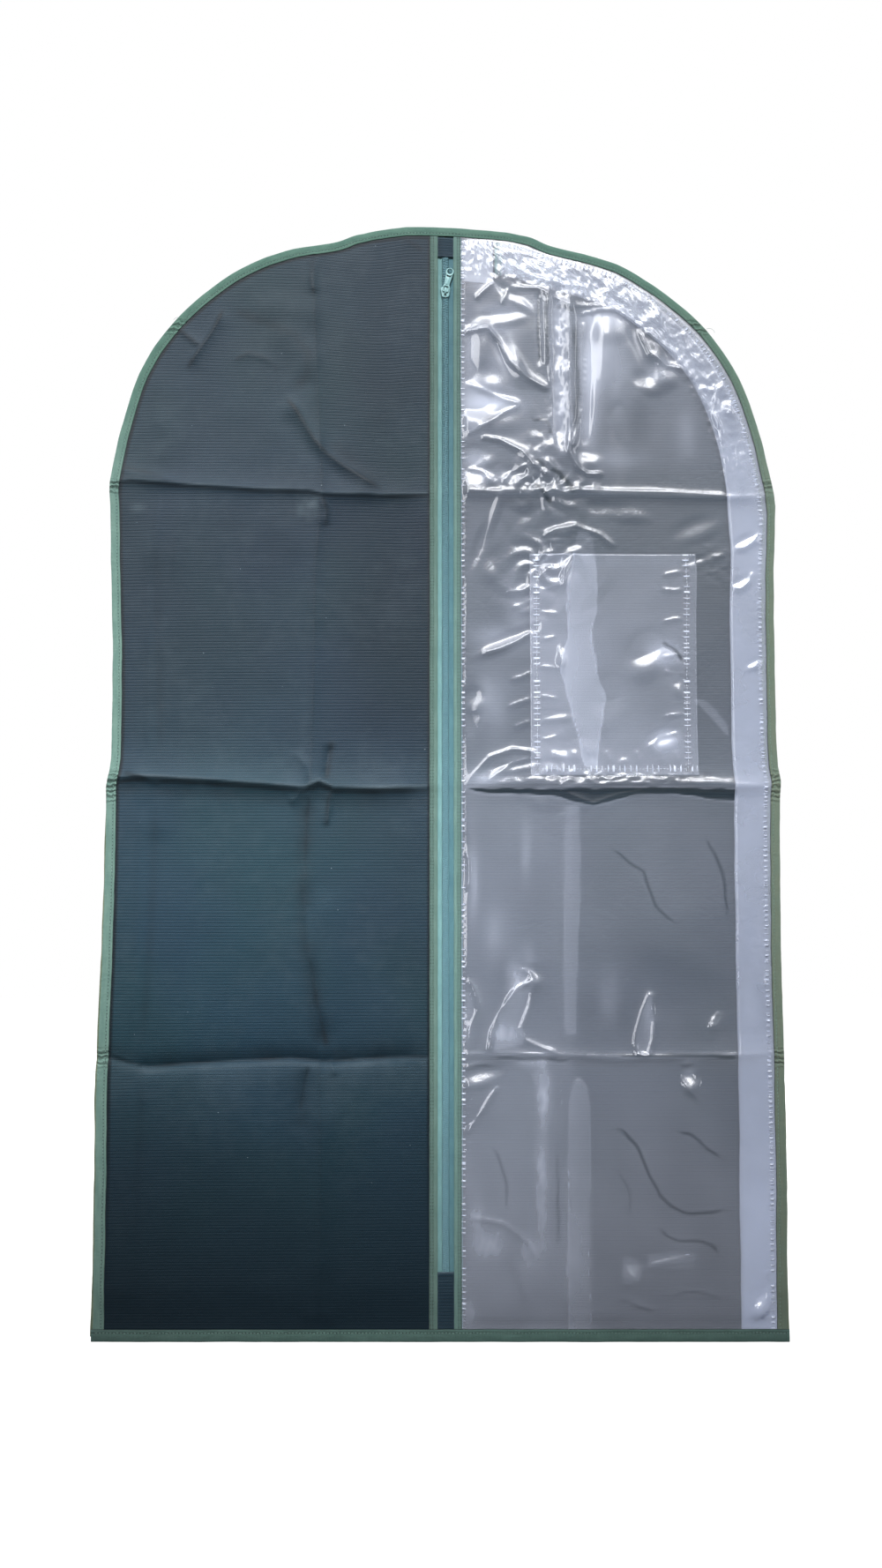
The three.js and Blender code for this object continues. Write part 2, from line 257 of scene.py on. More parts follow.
# The bag doesn't lie perfectly symmetric: bearing from (0, MID_Z) in degrees from straight
# up, + to the right; radial change of the outline.
LAY = np.array([
    [-180, 0], [-160, 3.0], [-147, 5.6], [-144.6, 4.6], [-138.7, 4.2], [-131.8, 4.6],
    [-125.7, 3.0], [-118.2, 0.9], [-109.4, -0.4], [-95.8, -0.6], [-89.4, -0.4], [-87, -3.0],
    [-84.9, -4.2], [-76, -4.6], [-67.6, -4.4], [-56.3, -1.3], [-49.4, 1.4], [-46.9, 3.0],
    [-44.5, 2.6], [-40.9, 2.4], [-36.4, 4.2], [-33.4, 5.0], [-28.8, 4.8], [-25.1, 3.9],
    [-21.6, 3.5], [-18.4, 2.9], [-15.4, 2.0], [-12.5, -1.4], [-9.6, -4.4], [-8.1, -5.4],
    [-6.6, -4.4], [-5.2, -2.4], [-3.7, -0.6], [-0.9, -0.8], [2.0, -2.2], [4.9, -4.2],
    [7.8, -7.0], [9.3, -6.8], [12.3, -6.0], [15.3, -5.2], [18.4, -4.2], [21.7, -5.6],
    [25.2, -5.6], [29.2, -4.8], [33.9, -4.7], [36.9, -4.4], [41.6, -4.2], [44.8, -3.2],
    [47.8, -0.6], [49.5, 1.6], [52, 0.2], [56.3, -2.0], [67.7, -2.5], [80, -2.2], [86, -1.0],
    [88.6, 1.4], [91, 0.6], [95.8, -0.5], [109.4, -1.2], [118.4, -1.6], [125.9, -1.1],
    [132.2, -0.6], [139.0, -0.4], [145.0, -2.6], [147.6, -2.4], [160, -1.0], [180, 0]], float)

# bearing, share of the front outline tape's width that shows
WIDTH = np.array([
    [-180, 1.0], [-147, 0.86], [-120, 0.84], [-95, 0.82], [-80, 0.84], [-60, 0.80], [-40, 0.78],
    [-12, 0.80], [0, 0.78], [14, 0.74], [30, 0.70], [50, 0.68], [70, 0.70], [92, 0.76],
    [120, 0.78], [147, 0.84], [180, 1.0]], float)
# bearing, how far the rear tape looks out past the front one
PEEK = np.array([
    [-180, 1.3], [-147, 3.0], [-120, 2.9], [-98, 2.4], [-84, 1.2], [-60, 0.7], [-30, 0.5],
    [0, 0.6], [30, 0.4], [60, 0.5], [84, 0.9], [100, 1.5], [125, 1.9], [147, 2.2],
    [180, 1.3]], float)


def bearing(x, z):
    return np.degrees(np.arctan2(x, z - MID_Z))


def by_bearing(table, x, z):
    return np.interp(bearing(x, z), table[:, 0], table[:, 1])


def radius_table():
    """Bearing and radius of the undisturbed outline."""
    ring = resample(np.vstack([OUTLINE, [[-HALF_W, 0]]]), 4.0)
    angle = bearing(ring[:, 0], ring[:, 1])
    order = np.argsort(angle)
    return np.stack([angle, np.hypot(ring[:, 0], ring[:, 1] - MID_Z)], 1)[order]


RADII = radius_table()


def lay(x, z):
    """Move a point of the symmetric bag to where it lies."""
    dx, dz = x, z - MID_Z
    radius = np.hypot(dx, dz) + 1e-9
    share = np.clip(radius / by_bearing(RADII, x, z), 0, 1.03) ** 3
    change = by_bearing(LAY, x, z) * share
    hold = smooth(0, 60, z)  # the hem keeps its height
    return x + dx / radius * change, z + dz / radius * change * hold


# ---------------------------------------------------------------------------
# the folds of the lying bag: height towards the viewer, shared by all layers
# ---------------------------------------------------------------------------
def hem_squeeze(y, z):
    """Press the layers together towards the hem."""
    return 1.5 + (y - 1.5) * (0.40 + 0.60 * smooth(9, 54, z))


def ridge(x, z, points, rise, reach, fade, skew=0.0, soft=False):
    """A fold along a line of view points: sharp-crested, or rounded if soft."""
    line = face_points(points)
    out = np.zeros(x.shape)
    mask = box_mask(x, z, line, 6 * reach)
    distance, side, along = line_distance(x[mask], z[mask], line)
    if soft:
        shape = np.exp(-(distance / reach) ** 2)
    else:
        shape = np.exp(-distance / (reach * np.where(side > 0, 1 + skew, 1 - skew)) * 1.6)
    out[mask] = rise * shape * (end_fade(along, fade) if fade > 0 else 1.0)
    return out


def ridges(x, z, rows, soft=False):
    """Sum of ridges; rows are (rise, reach, fade, points[, skew])."""
    return sum(ridge(x, z, points, rise, reach, fade, *skew, soft=soft)
               for rise, reach, fade, points, *skew in rows)


# storage creases of the whole bag, top to bottom, then the two upright ones: view points
CREASE_1 = [
    (118, 552), (150, 546), (215, 551), (290, 556), (350, 557), (366, 561), (430, 561),
    (488, 559), (524, 560), (600, 560), (690, 560), (780, 562), (888, 563)]
CREASE_2 = [
    (110, 884), (150, 880), (230, 884), (300, 889), (345, 893), (362, 886), (378, 893),
    (430, 894), (488, 892), (524, 890), (600, 888), (648, 892), (700, 889), (790, 891),
    (892, 893)]
CREASE_3 = [
    (104, 1200), (130, 1197), (170, 1207), (240, 1203), (330, 1199), (372, 1203), (430, 1199),
    (490, 1198), (524, 1198), (600, 1197), (650, 1198), (700, 1203), (790, 1199), (896, 1197)]
UPRIGHT_LEFT = [
    (352, 268), (356, 330), (360, 430), (366, 560), (358, 640), (356, 760), (352, 890),
    (347, 960), (345, 1010), (352, 1100), (362, 1200), (364, 1330), (362, 1500)]
UPRIGHT_RIGHT = [
    (626, 275), (622, 360), (626, 450), (622, 520), (634, 560), (640, 640), (640, 760),
    (642, 890), (640, 1000), (640, 1100), (638, 1200), (636, 1330), (640, 1500)]

# the cloth half carries deeper folds, the film half thinner ones
CLOTH_CREASES = [(3.6, 11, 0, CREASE_1, 0.30), (6.6, 16, 0, CREASE_2, 0.45),
                 (-4.8, 11, 0, CREASE_3, 0.3)]
FILM_CREASES = [(1.2, 8, 0, CREASE_1, 0.3), (2.6, 13, 0, CREASE_2, 0.4),
                (1.4, 9, 0, CREASE_3, 0.3)]

# sharp folds: rise, reach, end fade, view points, skew
SHARP_FOLDS = [
    (2.0, 11, 0.03, UPRIGHT_LEFT),
    (1.3, 11, 0.03, UPRIGHT_RIGHT),
    (3.9, 13, 0.16, [(322, 448), (336, 466), (347, 484), (357, 501), (372, 517), (390, 530),
                     (412, 543), (436, 557)], -0.45),
    (2.6, 7, 0.2, [(255, 352), (250, 366), (240, 384), (231, 397), (222, 410), (214, 424)], 0.35),
    (2.2, 6, 0.2, [(203, 376), (216, 387), (230, 398)], 0.3),
    (2.1, 6, 0.2, [(356, 280), (355, 300), (354, 320), (357, 338)]),
    (1.0, 6, 0.3, [(262, 414), (282, 404), (304, 410), (316, 424)]),
    (1.3, 8, 0.3, [(480, 282), (468, 276), (456, 268)]),
    (1.6, 9, 0.25, [(120, 532), (160, 540), (210, 548)]),
    (1.4, 10, 0.35, [(184, 556), (178, 600), (170, 660)]),
    (1.2, 12, 0.35, [(212, 556), (205, 600), (196, 660)]),
    (2.0, 6, 0.3, [(366, 563), (371, 580), (370, 600)], -0.4),
    (-2.4, 6, 0.25, [(374, 843), (371, 862), (369, 884)]),
    (1.8, 8, 0.3, [(345, 893), (336, 906), (326, 912)]),
    (1.9, 5, 0.25, [(376, 894), (374, 915), (370, 940)], -0.4),
    (-2.6, 8, 0.3, [(352, 896), (347, 930), (346, 1004)]),
    (-2.2, 9, 0.25, [(352, 1080), (360, 1140), (372, 1194)]),
    (1.9, 8, 0.25, [(136, 876), (160, 880), (184, 892)]),
    (1.6, 11, 0.3, [(330, 850), (350, 872), (352, 892)]),
    (2.3, 9, 0.25, [(126, 1192), (148, 1200), (166, 1208)]),
    (-2.0, 7, 0.3, [(350, 1206), (345, 1230), (340, 1262)]),
    (1.6, 5, 0.3, [(372, 1200), (378, 1212), (381, 1222)]),
]
# rounded folds, same columns
SOFT_FOLDS = [
    (-1.5, 9, 0.25, [(312, 458), (334, 486), (352, 512), (380, 536), (410, 552)]),
    (1.5, 14, 0.3, [(280, 345), (316, 352), (350, 356), (378, 368)]),
    (1.9, 13, 0.3, [(300, 372), (330, 385), (346, 410), (350, 440)]),
    (1.7, 14, 0.3, [(180, 460), (196, 500), (186, 540)]),
    (1.0, 16, 0.35, [(300, 560), (320, 600), (352, 640)]),
    (1.7, 16, 0.2, [(366, 1000), (372, 1080), (368, 1180)]),
    (1.3, 12, 0.3, [(160, 884), (176, 910), (180, 960)]),
    (1.1, 14, 0.3, [(186, 880), (172, 850), (165, 800)]),
    (1.5, 12, 0.15, [(366, 1240), (364, 1330), (362, 1460)]),
    (0.8, 18, 0.3, [(246, 1206), (240, 1260), (236, 1340)]),
    (1.3, 9, 0.3, [(340, 1500), (362, 1492), (384, 1502)]),
    (0.8, 5, 0.1, [(168, 600), (166, 760), (164, 860)]),
    (0.9, 5, 0.1, [(160, 910), (156, 1050), (152, 1180)]),
    (0.9, 5, 0.1, [(150, 1220), (148, 1350), (146, 1490)]),
]


def height(x, z):
    x, z = np.broadcast_arrays(np.asarray(x, float), np.asarray(z, float))
    left = smooth(20, -20, x)
    h = ridges(x, z, CLOTH_CREASES) * left + ridges(x, z, FILM_CREASES) * (1 - left)
    # boxes between the creases sag and rise
    h += 1.1 * fbm(x / 190 + 3.1, z / 210 - 1.7, 2, 11)
    h += 0.70 * fbm(x / 62 + 1.9, z / 70 + 4.2, 2, 23) * (0.4 + 0.6 * left)
    h += ridges(x, z, SHARP_FOLDS) + ridges(x, z, SOFT_FOLDS, soft=True)
    # the zip and the bound outline are stiffer; both zip ends are sewn flat
    from_zip = np.abs(x - ZIP_X)
    zip_share = 0.26 + 0.74 * smooth(14, 46, from_zip)
    ends = 1 - (1 - smooth(86, 130, z) * smooth(905, 870, z)) * smooth(40, 16, from_zip)
    edge = 0.55 + 0.45 * smooth(4, 44, edge_distance(x, z))
    return h * zip_share * ends * edge * smooth(0, 40, z)


# ---------------------------------------------------------------------------
# crumple of the film, on top of the shared folds (only towards the viewer)
# ---------------------------------------------------------------------------
def blob(x, z, across, down, reach_x, reach_z):
    centre_x, centre_z = face_point(across, down)
    return np.exp(-((x - centre_x) / reach_x) ** 2 - ((z - centre_z) / reach_z) ** 2)


def blobs(x, z, rows):
    """Sum of soft spots; rows are (weight, across, down, reach x, reach z)."""
    return sum(weight * blob(x, z, *place) for weight, *place in rows)


def star(x, z, across, down, rise, radius, points, phase):
    """A pinched corner: creases that run out from one point."""
    centre_x, centre_z = face_point(across, down)
    dx, dz = x - centre_x, z - centre_z
    distance = np.hypot(dx, dz) + 1e-6
    angle = np.arctan2(dz, dx) + 0.35 * np.sin(distance / radius * 2.0 + phase)
    teeth = np.abs(((angle * points / TAU + phase) % 1.0) * 2 - 1)
    return rise * teeth * (distance / radius) * np.exp(1 - distance / radius)


# azimuth and elevation in degrees; no elevation means the light is met at the sight line's own
CEILING_BOX = (-2.0, 34.0)
SIDE_WINDOW = (-28.0, None)


def mirror_slopes(x, z, azimuth, elevation):
    """Slopes (dh/dx, dh/dz) that make a point mirror a light towards the viewer."""
    sight = np.array([x, 1486.0, z - 344.0])
    sight /= np.linalg.norm(sight)
    turn = math.radians(azimuth)
    climb = np.arcsin(sight[2]) if elevation is None else math.radians(elevation)
    light = np.array([math.sin(turn) * np.cos(climb), -math.cos(turn) * np.cos(climb),
                      np.sin(climb)])
    normal = light - sight
    return normal[0] / normal[1], normal[2] / normal[1]


def glow(x, z, light, across, down, reach_x, reach_z, turn, gain):
    """A soft facet of the film that catches a light. The turn is in degrees from upright."""
    centre_x, centre_z = face_point(across, down)
    reach = 3.0 * max(reach_x, reach_z)
    out = np.zeros(x.shape)
    mask = (np.abs(x - centre_x) < reach) & (np.abs(z - centre_z) < reach)
    dx, dz = x[mask] - centre_x, z[mask] - centre_z
    cos, sin = math.cos(math.radians(turn)), math.sin(math.radians(turn))
    u, v = dx * cos - dz * sin, dx * sin + dz * cos
    weight = np.exp(-((u / (1.22 * reach_x)) ** 2 + (v / (1.22 * reach_z)) ** 2) ** 1.7)
    slope_x, slope_z = mirror_slopes(centre_x, centre_z, *light)
    out[mask] = gain * weight * (slope_x * dx + slope_z * dz)
    return out


def glows(x, z, light, rows):
    return sum(glow(x, z, light, *row) for row in rows)


def crinkle(x, z, length_x, length_z, seed):
    """Sharp-edged small folds, about -0.5 to 0.5."""
    coarse = noise(x / length_x + 3.3, z / length_z - 1.2, seed)
    fine = noise(x / length_x * 1.7 - 5.0, z / length_z * 1.7 + 2.0, seed + 3)
    return (0.6 * (0.5 - np.minimum(np.abs(coarse) * 1.8, 1))
            + 0.4 * (0.5 - np.minimum(np.abs(fine) * 1.8, 1)))


# facets of the film: across, down, reach x, reach z, turn, gain
CEILING_GLOWS = [
    # above the first crease
    (570, 357, 17, 6, -8, 1.1), (540, 430, 20, 12, 0, 1.15), (536, 462, 16, 16, 0, 1.1),
    (552, 470, 20, 11, 12, 1.1), (540, 517, 12, 8, 10, 1.1), (536, 538, 12, 14, 0, 1.1),
    (684, 366, 18, 12, 0, 1.0), (638, 412, 8, 12, 0, 1.0), (640, 500, 9, 14, 0, 1.1),
    (600, 290, 6, 5, 12, 1.1), (640, 330, 12, 5, -10, 1.1), (694, 322, 8, 4, -25, 1.1),
    (739, 352, 6, 7, -35, 1.1), (826, 458, 5, 8, -35, 1.0), (737, 432, 11, 7, 30, 1.1),
    (752, 420, 12, 9, 40, 1.1), (583, 333, 14, 4, 40, 1.0), (620, 548, 12, 7, 10, 1.0),
    (586, 545, 12, 8, 30, 0.9), (660, 520, 14, 7, 0, 0.8), (560, 452, 12, 8, 14, 1.0),
    # first to second crease
    (574, 728, 22, 5, -24, 1.0), (538, 795, 8, 8, 0, 0.8), (844, 616, 9, 4, -30, 1.1),
    (842, 661, 8, 4, -30, 1.0), (858, 752, 7, 3, -30, 1.0), (594, 665, 6, 5, -20, 1.0),
    (596, 690, 6, 4, -20, 0.9), (630, 600, 12, 5, 0, 0.9), (800, 634, 14, 3, -14, 1.0),
    (650, 622, 9, 4, -30, 1.0), (560, 640, 8, 12, 30, 0.5), (700, 580, 20, 6, 10, 0.5),
    (790, 600, 18, 8, -20, 0.5), (585, 870, 20, 4, -10, 0.9),
    # second to third crease
    (604, 1108, 6, 8, -30, 0.9), (811, 1157, 4, 9, 20, 0.9),
    # below the third crease
    (545, 1222, 16, 7, -20, 0.9), (866, 1475, 5, 13, 20, 0.9), (781, 1226, 7, 9, -20, 0.9),
    (760, 1431, 18, 4, -8, 0.6), (716, 1442, 8, 10, 30, 0.5),
]
WINDOW_GLOWS = [
    # above the first crease
    (538, 396, 9, 26, 0, 1.0), (675, 410, 13, 56, 2, 1.1), (668, 470, 6, 26, 6, 1.0),
    (637, 366, 8, 34, 0, 1.0), (637, 455, 8, 36, 0, 1.0), (813, 470, 4, 14, -12, 0.9),
    (838, 520, 4, 24, -8, 0.8), (712, 440, 12, 46, 4, 0.45), (736, 392, 8, 26, -24, 0.7),
    (578, 404, 7, 20, -24, 0.8),
    # first to second crease
    (553, 598, 4, 26, 22, 0.85), (541, 806, 9, 20, 4, 0.9),
    # second to third crease
    (529, 987, 4, 17, 0, 0.9), (648, 1000, 4, 60, 0, 0.55), (648, 1110, 4, 46, 0, 0.55),
    (575, 1150, 5, 18, 14, 0.9), (536, 1125, 4, 14, -20, 0.9), (858, 1100, 6, 40, 0, 0.5),
    # below the third crease
    (608, 1345, 5, 62, 1, 1.0), (533, 1256, 4, 14, 12, 0.9), (590, 1462, 6, 16, -20, 0.8),
    (632, 1360, 3, 40, 0, -0.5),
]

# sharp folds of the film: rise, reach, end fade, view points, skew
FILM_FOLDS = [
    # above the first crease
    (1.3, 2.6, 0.15, [(561, 316), (549, 327), (538, 338)]),
    (1.2, 2.4, 0.15, [(577, 321), (573, 332), (569, 342)]),
    (2.4, 4.4, 0.06, [(523, 371), (530, 375), (553, 370), (566, 384), (578, 407), (598, 427),
                      (624, 442)], 0.3),
    (1.3, 3.0, 0.12, [(593, 457), (575, 452), (551, 442), (527, 433)]),
    (1.3, 3.0, 0.12, [(593, 457), (572, 466), (552, 479), (528, 494)]),
    (2.0, 3.8, 0.08, [(543, 494), (566, 498), (591, 511), (604, 526), (626, 541)], 0.3),
    (1.2, 3.0, 0.15, [(528, 530), (548, 534), (561, 550)]),
    (1.4, 3.0, 0.12, [(568, 549), (578, 536), (598, 527), (604, 549)]),
    (1.5, 3.0, 0.04, [(624, 322), (622, 380), (626, 440), (627, 486), (630, 520)]),
    (2.0, 3.2, 0.04, [(647, 330), (648, 372), (646, 430), (648, 470), (645, 511), (657, 531),
                      (667, 537), (687, 537)]),
    (-1.2, 2.6, 0.1, [(611, 326), (611, 372), (613, 415)]),
    (0.9, 2.2, 0.1, [(617, 326), (618, 372), (619, 415)]),
    (2.1, 3.6, 0.06, [(663, 356), (664, 430), (661, 462), (656, 486), (648, 510)], -0.4),
    (1.7, 3.4, 0.1, [(657, 354), (677, 349), (702, 349), (722, 362)]),
    (1.6, 3.6, 0.12, [(725, 369), (738, 397), (758, 412), (781, 417)]),
    (1.6, 2.8, 0.12, [(829, 425), (816, 440), (811, 463), (817, 484)]),
    (1.2, 2.4, 0.15, [(824, 452), (831, 459), (829, 470)]),
    # the gusset's inner edge prints through, and thin lines follow the arch
    (1.1, 2.6, 0.04, [(577, 320), (611, 322), (626, 331), (647, 342), (702, 345), (748, 382),
                      (768, 398), (788, 427), (811, 470), (820, 486), (825, 521), (826, 559)]),
    (0.8, 2.0, 0.03, [(590, 276), (640, 286), (690, 303), (740, 334), (786, 378), (822, 428),
                      (846, 486), (860, 548)]),
    (1.0, 2.4, 0.1, [(574, 290), (600, 306), (640, 318), (672, 322)]),
    (1.0, 2.4, 0.12, [(688, 312), (700, 332), (716, 340)]),
    (1.1, 2.6, 0.12, [(748, 346), (752, 366), (768, 384)]),
    (1.0, 2.4, 0.12, [(776, 372), (784, 398), (800, 412)]),
    # first to second crease
    (1.5, 2.4, 0.12, [(833, 622), (844, 623), (856, 613), (863, 603)]),
    (1.3, 2.3, 0.12, [(831, 665), (842, 668), (850, 659), (855, 648)]),
    (1.2, 2.2, 0.12, [(849, 760), (860, 755), (867, 746)]),
    (1.9, 3.4, 0.12, [(545, 743), (566, 737), (588, 727), (604, 716)], 0.4),
    (1.2, 2.6, 0.15, [(573, 672), (590, 671), (602, 664)]),
    (1.0, 2.4, 0.15, [(580, 690), (594, 686), (604, 680)]),
    (1.0, 2.6, 0.15, [(578, 772), (592, 768), (604, 762)]),
    (1.0, 2.6, 0.15, [(574, 803), (590, 797), (604, 792)]),
    (0.9, 2.4, 0.15, [(582, 826), (594, 821), (604, 818)]),
    (1.6, 3.0, 0.1, [(530, 887), (555, 859), (581, 850), (604, 853), (616, 867)]),
    (1.3, 2.6, 0.12, [(553, 887), (578, 867), (604, 860)]),
    (1.3, 3.0, 0.1, [(612, 612), (628, 600), (652, 596), (680, 606), (700, 622)]),
    (1.4, 2.8, 0.12, [(606, 640), (618, 628), (630, 624)]),
    # second to third crease
    (0.9, 3.4, 0.1, [(604, 893), (640, 900), (672, 912), (700, 902), (740, 896)]),
    (2.3, 3.0, 0.06, [(588, 1098), (600, 1104), (604, 1113), (588, 1120), (576, 1134),
                      (568, 1148), (558, 1170), (554, 1196)]),
    (2.0, 2.8, 0.08, [(606, 1113), (601, 1141), (591, 1166), (593, 1179), (612, 1188),
                      (634, 1195)]),
    (1.6, 3.0, 0.1, [(528, 1108), (537, 1122), (543, 1143), (534, 1166), (530, 1190)]),
    (2.0, 2.4, 0.04, [(738, 1123), (733, 1136), (728, 1148), (722, 1170), (720, 1184),
                      (723, 1196), (735, 1198), (741, 1178), (742, 1158), (740, 1143),
                      (738, 1124)]),
    (1.4, 2.4, 0.15, [(816, 1146), (808, 1158), (806, 1169)]),
    (1.2, 2.8, 0.12, [(525, 962), (532, 975), (533, 1000), (526, 1010)]),
    (0.9, 2.2, 0.15, [(862, 1112), (872, 1118), (878, 1112)]),
    # below the third crease
    (1.9, 3.0, 0.08, [(566, 1231), (556, 1245), (548, 1259), (538, 1274), (528, 1288)]),
    (1.2, 2.6, 0.12, [(538, 1236), (533, 1256), (528, 1275)]),
    (1.2, 2.6, 0.12, [(525, 1212), (545, 1206), (566, 1210)]),
    (1.5, 2.8, 0.1, [(594, 1200), (605, 1231), (607, 1262)]),
    (1.2, 1.9, 0.02, [(641, 1208), (639, 1280), (642, 1360), (640, 1440), (640, 1505)]),
    (1.0, 2.2, 0.03, [(645, 1236), (656, 1226), (666, 1240), (670, 1300), (668, 1400),
                      (670, 1500)]),
    (1.5, 2.4, 0.04, [(769, 1208), (787, 1205), (792, 1226), (791, 1248), (780, 1236),
                      (771, 1221), (769, 1209)]),
    (1.3, 3.4, 0.12, [(530, 1380), (571, 1388), (600, 1411), (610, 1431)]),
    (1.3, 2.8, 0.12, [(582, 1436), (592, 1462), (602, 1488)]),
    (1.0, 2.6, 0.15, [(700, 1477), (720, 1480), (743, 1490)]),
    (1.0, 2.8, 0.15, [(759, 1475), (792, 1467), (820, 1477)]),
    (0.9, 3.0, 0.15, [(735, 1436), (760, 1430), (789, 1424)]),
    (0.9, 2.8, 0.15, [(705, 1430), (714, 1446), (728, 1460)]),
    (1.3, 2.3, 0.08, [(861, 1457), (872, 1466), (874, 1482), (864, 1493), (860, 1478)]),
    # short folds that rise from the hem
    *[(1.1, 2.6, 0.15, [(across - 4, 1506), (across, 1494), (across + 5, 1480)])
      for across in (626, 680, 706, 760, 800)],
]
SOFT_FILM_FOLD = [(0.9, 6.0, 0.2, [(702, 360), (708, 390), (706, 430), (694, 470)])]

# fine lines along the storage creases, uneven in strength
UNEVEN_FOLDS = [
    (1.0, 2.4, 0.02, [(524, 557), (560, 556), (600, 556), (640, 555), (700, 556), (760, 557),
                      (826, 560)]),
    (1.0, 2.4, 0.02, [(524, 884), (580, 884), (640, 886), (700, 884), (760, 886), (835, 888)]),
    (1.1, 2.2, 0.02, [(524, 1196), (580, 1195), (640, 1197), (700, 1199), (760, 1198),
                      (840, 1197)]),
]

# across, down, rise, radius, points, phase
STARS = [(628, 552, 1.3, 13, 7, 0.2), (604, 546, 1.0, 10, 5, 0.7),
         (612, 640, 1.3, 14, 7, 0.1), (640, 880, 0.9, 12, 6, 0.3)]

# crinkled places: (soft spots, crinkles as (rise, length x, length z, seed))
CRINKLED = [
    ([(1.0, 636, 410, 9, 78), (1.0, 604, 545, 26, 14), (0.8, 648, 552, 26, 10),
      (0.7, 618, 500, 14, 24), (0.4, 700, 320, 60, 16), (0.35, 546, 540, 20, 16)],
     [(1.2, 15, 21, 31), (0.75, 7.5, 10, 37)]),
    ([(1.0, 700, 886, 74, 7), (0.5, 640, 612, 30, 10), (0.5, 812, 640, 18, 20)],
     [(1.6, 17, 8, 43), (0.6, 8, 5, 45)]),
]
STRIP_CRINKLES = [(1.25, 10, 13, 61), (0.55, 5, 6.5, 63)]


def crinkles(x, z, rows):
    return sum(rise * crinkle(x, z, *rest) for rise, *rest in rows)


def film_crumple(x, z):
    x, z = np.broadcast_arrays(np.asarray(x, float), np.asarray(z, float))
    edge = edge_distance(x, z)
    # large, smooth waves; livelier above the first crease
    upper = smooth(690, 800, z)
    h = 1.3 + 1.3 * fbm(x / 120 + 5, z / 160 + 2, 2, 51) * (0.7 + 0.9 * upper)
    h = h + 0.55 * fbm(x / 46 + 1, z / 62 + 7, 2, 53) * (0.12 + 1.1 * upper)
    h += glows(x, z, CEILING_BOX, CEILING_GLOWS) + glows(x, z, SIDE_WINDOW, WINDOW_GLOWS)
    h += ridges(x, z, FILM_FOLDS) + ridges(x, z, SOFT_FILM_FOLD, soft=True)
    uneven = np.clip(0.55 + 0.75 * noise(x / 34 + 2, z / 300 + 5, 57), 0.15, 1.2)
    h += ridges(x, z, UNEVEN_FOLDS) * uneven
    # a crinkled strip inside the arch's binding, and crinkled places
    strip = smooth(12, 17, edge) * smooth(50, 40, edge) * smooth(730, 800, z)
    strip = strip * (0.55 + 0.9 * np.clip(noise(x / 31, z / 31, 59), 0, 1))
    h += crinkles(x, z, STRIP_CRINKLES) * strip
    for spots, rows in CRINKLED:
        h += crinkles(x, z, rows) * np.clip(blobs(x, z, spots), 0, 1)
    for row in STARS:
        h += star(x, z, *row)
    # sewn flat along the bindings, with a pucker at many of the needle holes
    pinned = smooth(8, 19, edge) * smooth(14, 21, np.abs(x - ZIP_X)) * smooth(13, 24, z)
    h = np.maximum(h, 0) * pinned
    from_seam = x - ZIP_X - ZIP_TAPE_OUTER
    pit = 0.5 + 0.5 * np.cos(TAU * (z + 2.2 * noise(z / 19.0, 4, 95)) / 6.2)
    some = smooth(-0.15, 0.35, noise(z / 31.0, 1.5, 97))
    falloff = smooth(-0.5, 1.2, from_seam) * np.exp(-np.maximum(from_seam, 0) / 3.0)
    return h + 0.75 * pit ** 2 * some * falloff * smooth(20, 30, z) * (x > 0)


# closed patches where two layers of film cling together: pale share (- is darker), view points
CLING = [
    (0.34, [(657, 601), (650, 630), (643, 661), (642, 690), (644, 717), (639, 740), (636, 760),
            (641, 784), (647, 806), (655, 838), (662, 869), (677, 872), (682, 830), (687, 793),
            (681, 778), (677, 763), (673, 740), (673, 717), (676, 692), (677, 667), (676, 640),
            (673, 616), (668, 603)]),
    (0.30, [(641, 915), (657, 913), (658, 1000), (655, 1090), (652, 1174), (641, 1174),
            (639, 1090), (640, 1000)]),
    (0.34, [(644, 1508), (643, 1400), (644, 1300), (646, 1248), (650, 1232), (657, 1225),
            (664, 1232), (668, 1250), (670, 1300), (669, 1400), (671, 1508)]),
    (0.28, [(624, 330), (647, 330), (648, 420), (646, 508), (630, 510), (624, 420)]),
    (0.35, [(788, 793), (800, 794), (826, 822), (826, 834), (806, 812)]),
    (0.22, [(560, 430), (590, 440), (622, 446), (650, 470), (652, 500), (636, 520), (606, 520),
            (590, 500), (560, 488)]),
    (-0.85, [(526, 893), (560, 895), (604, 895), (640, 894), (700, 894), (760, 893), (834, 896),
             (835, 910), (800, 905), (760, 900), (720, 901), (690, 909), (672, 913), (650, 909),
             (620, 902), (580, 901), (540, 898)]),
    (-0.45, [(560, 1197), (600, 1199), (650, 1200), (640, 1204), (600, 1204), (566, 1201)]),
    (-0.45, [(700, 1196), (760, 1194), (832, 1196), (834, 1202), (790, 1199), (740, 1199),
             (706, 1200)]),
    (0.30, [(735, 1424), (760, 1420), (788, 1426), (786, 1438), (760, 1441), (738, 1438)]),
    (0.26, [(706, 1424), (722, 1430), (728, 1446), (722, 1460), (708, 1456)]),
    (0.30, [(588, 1102), (604, 1112), (600, 1140), (592, 1166), (594, 1184), (560, 1192),
            (566, 1152), (580, 1124)]),
    (0.32, [(738, 1126), (742, 1158), (735, 1196), (723, 1195), (720, 1184), (729, 1148)]),
]
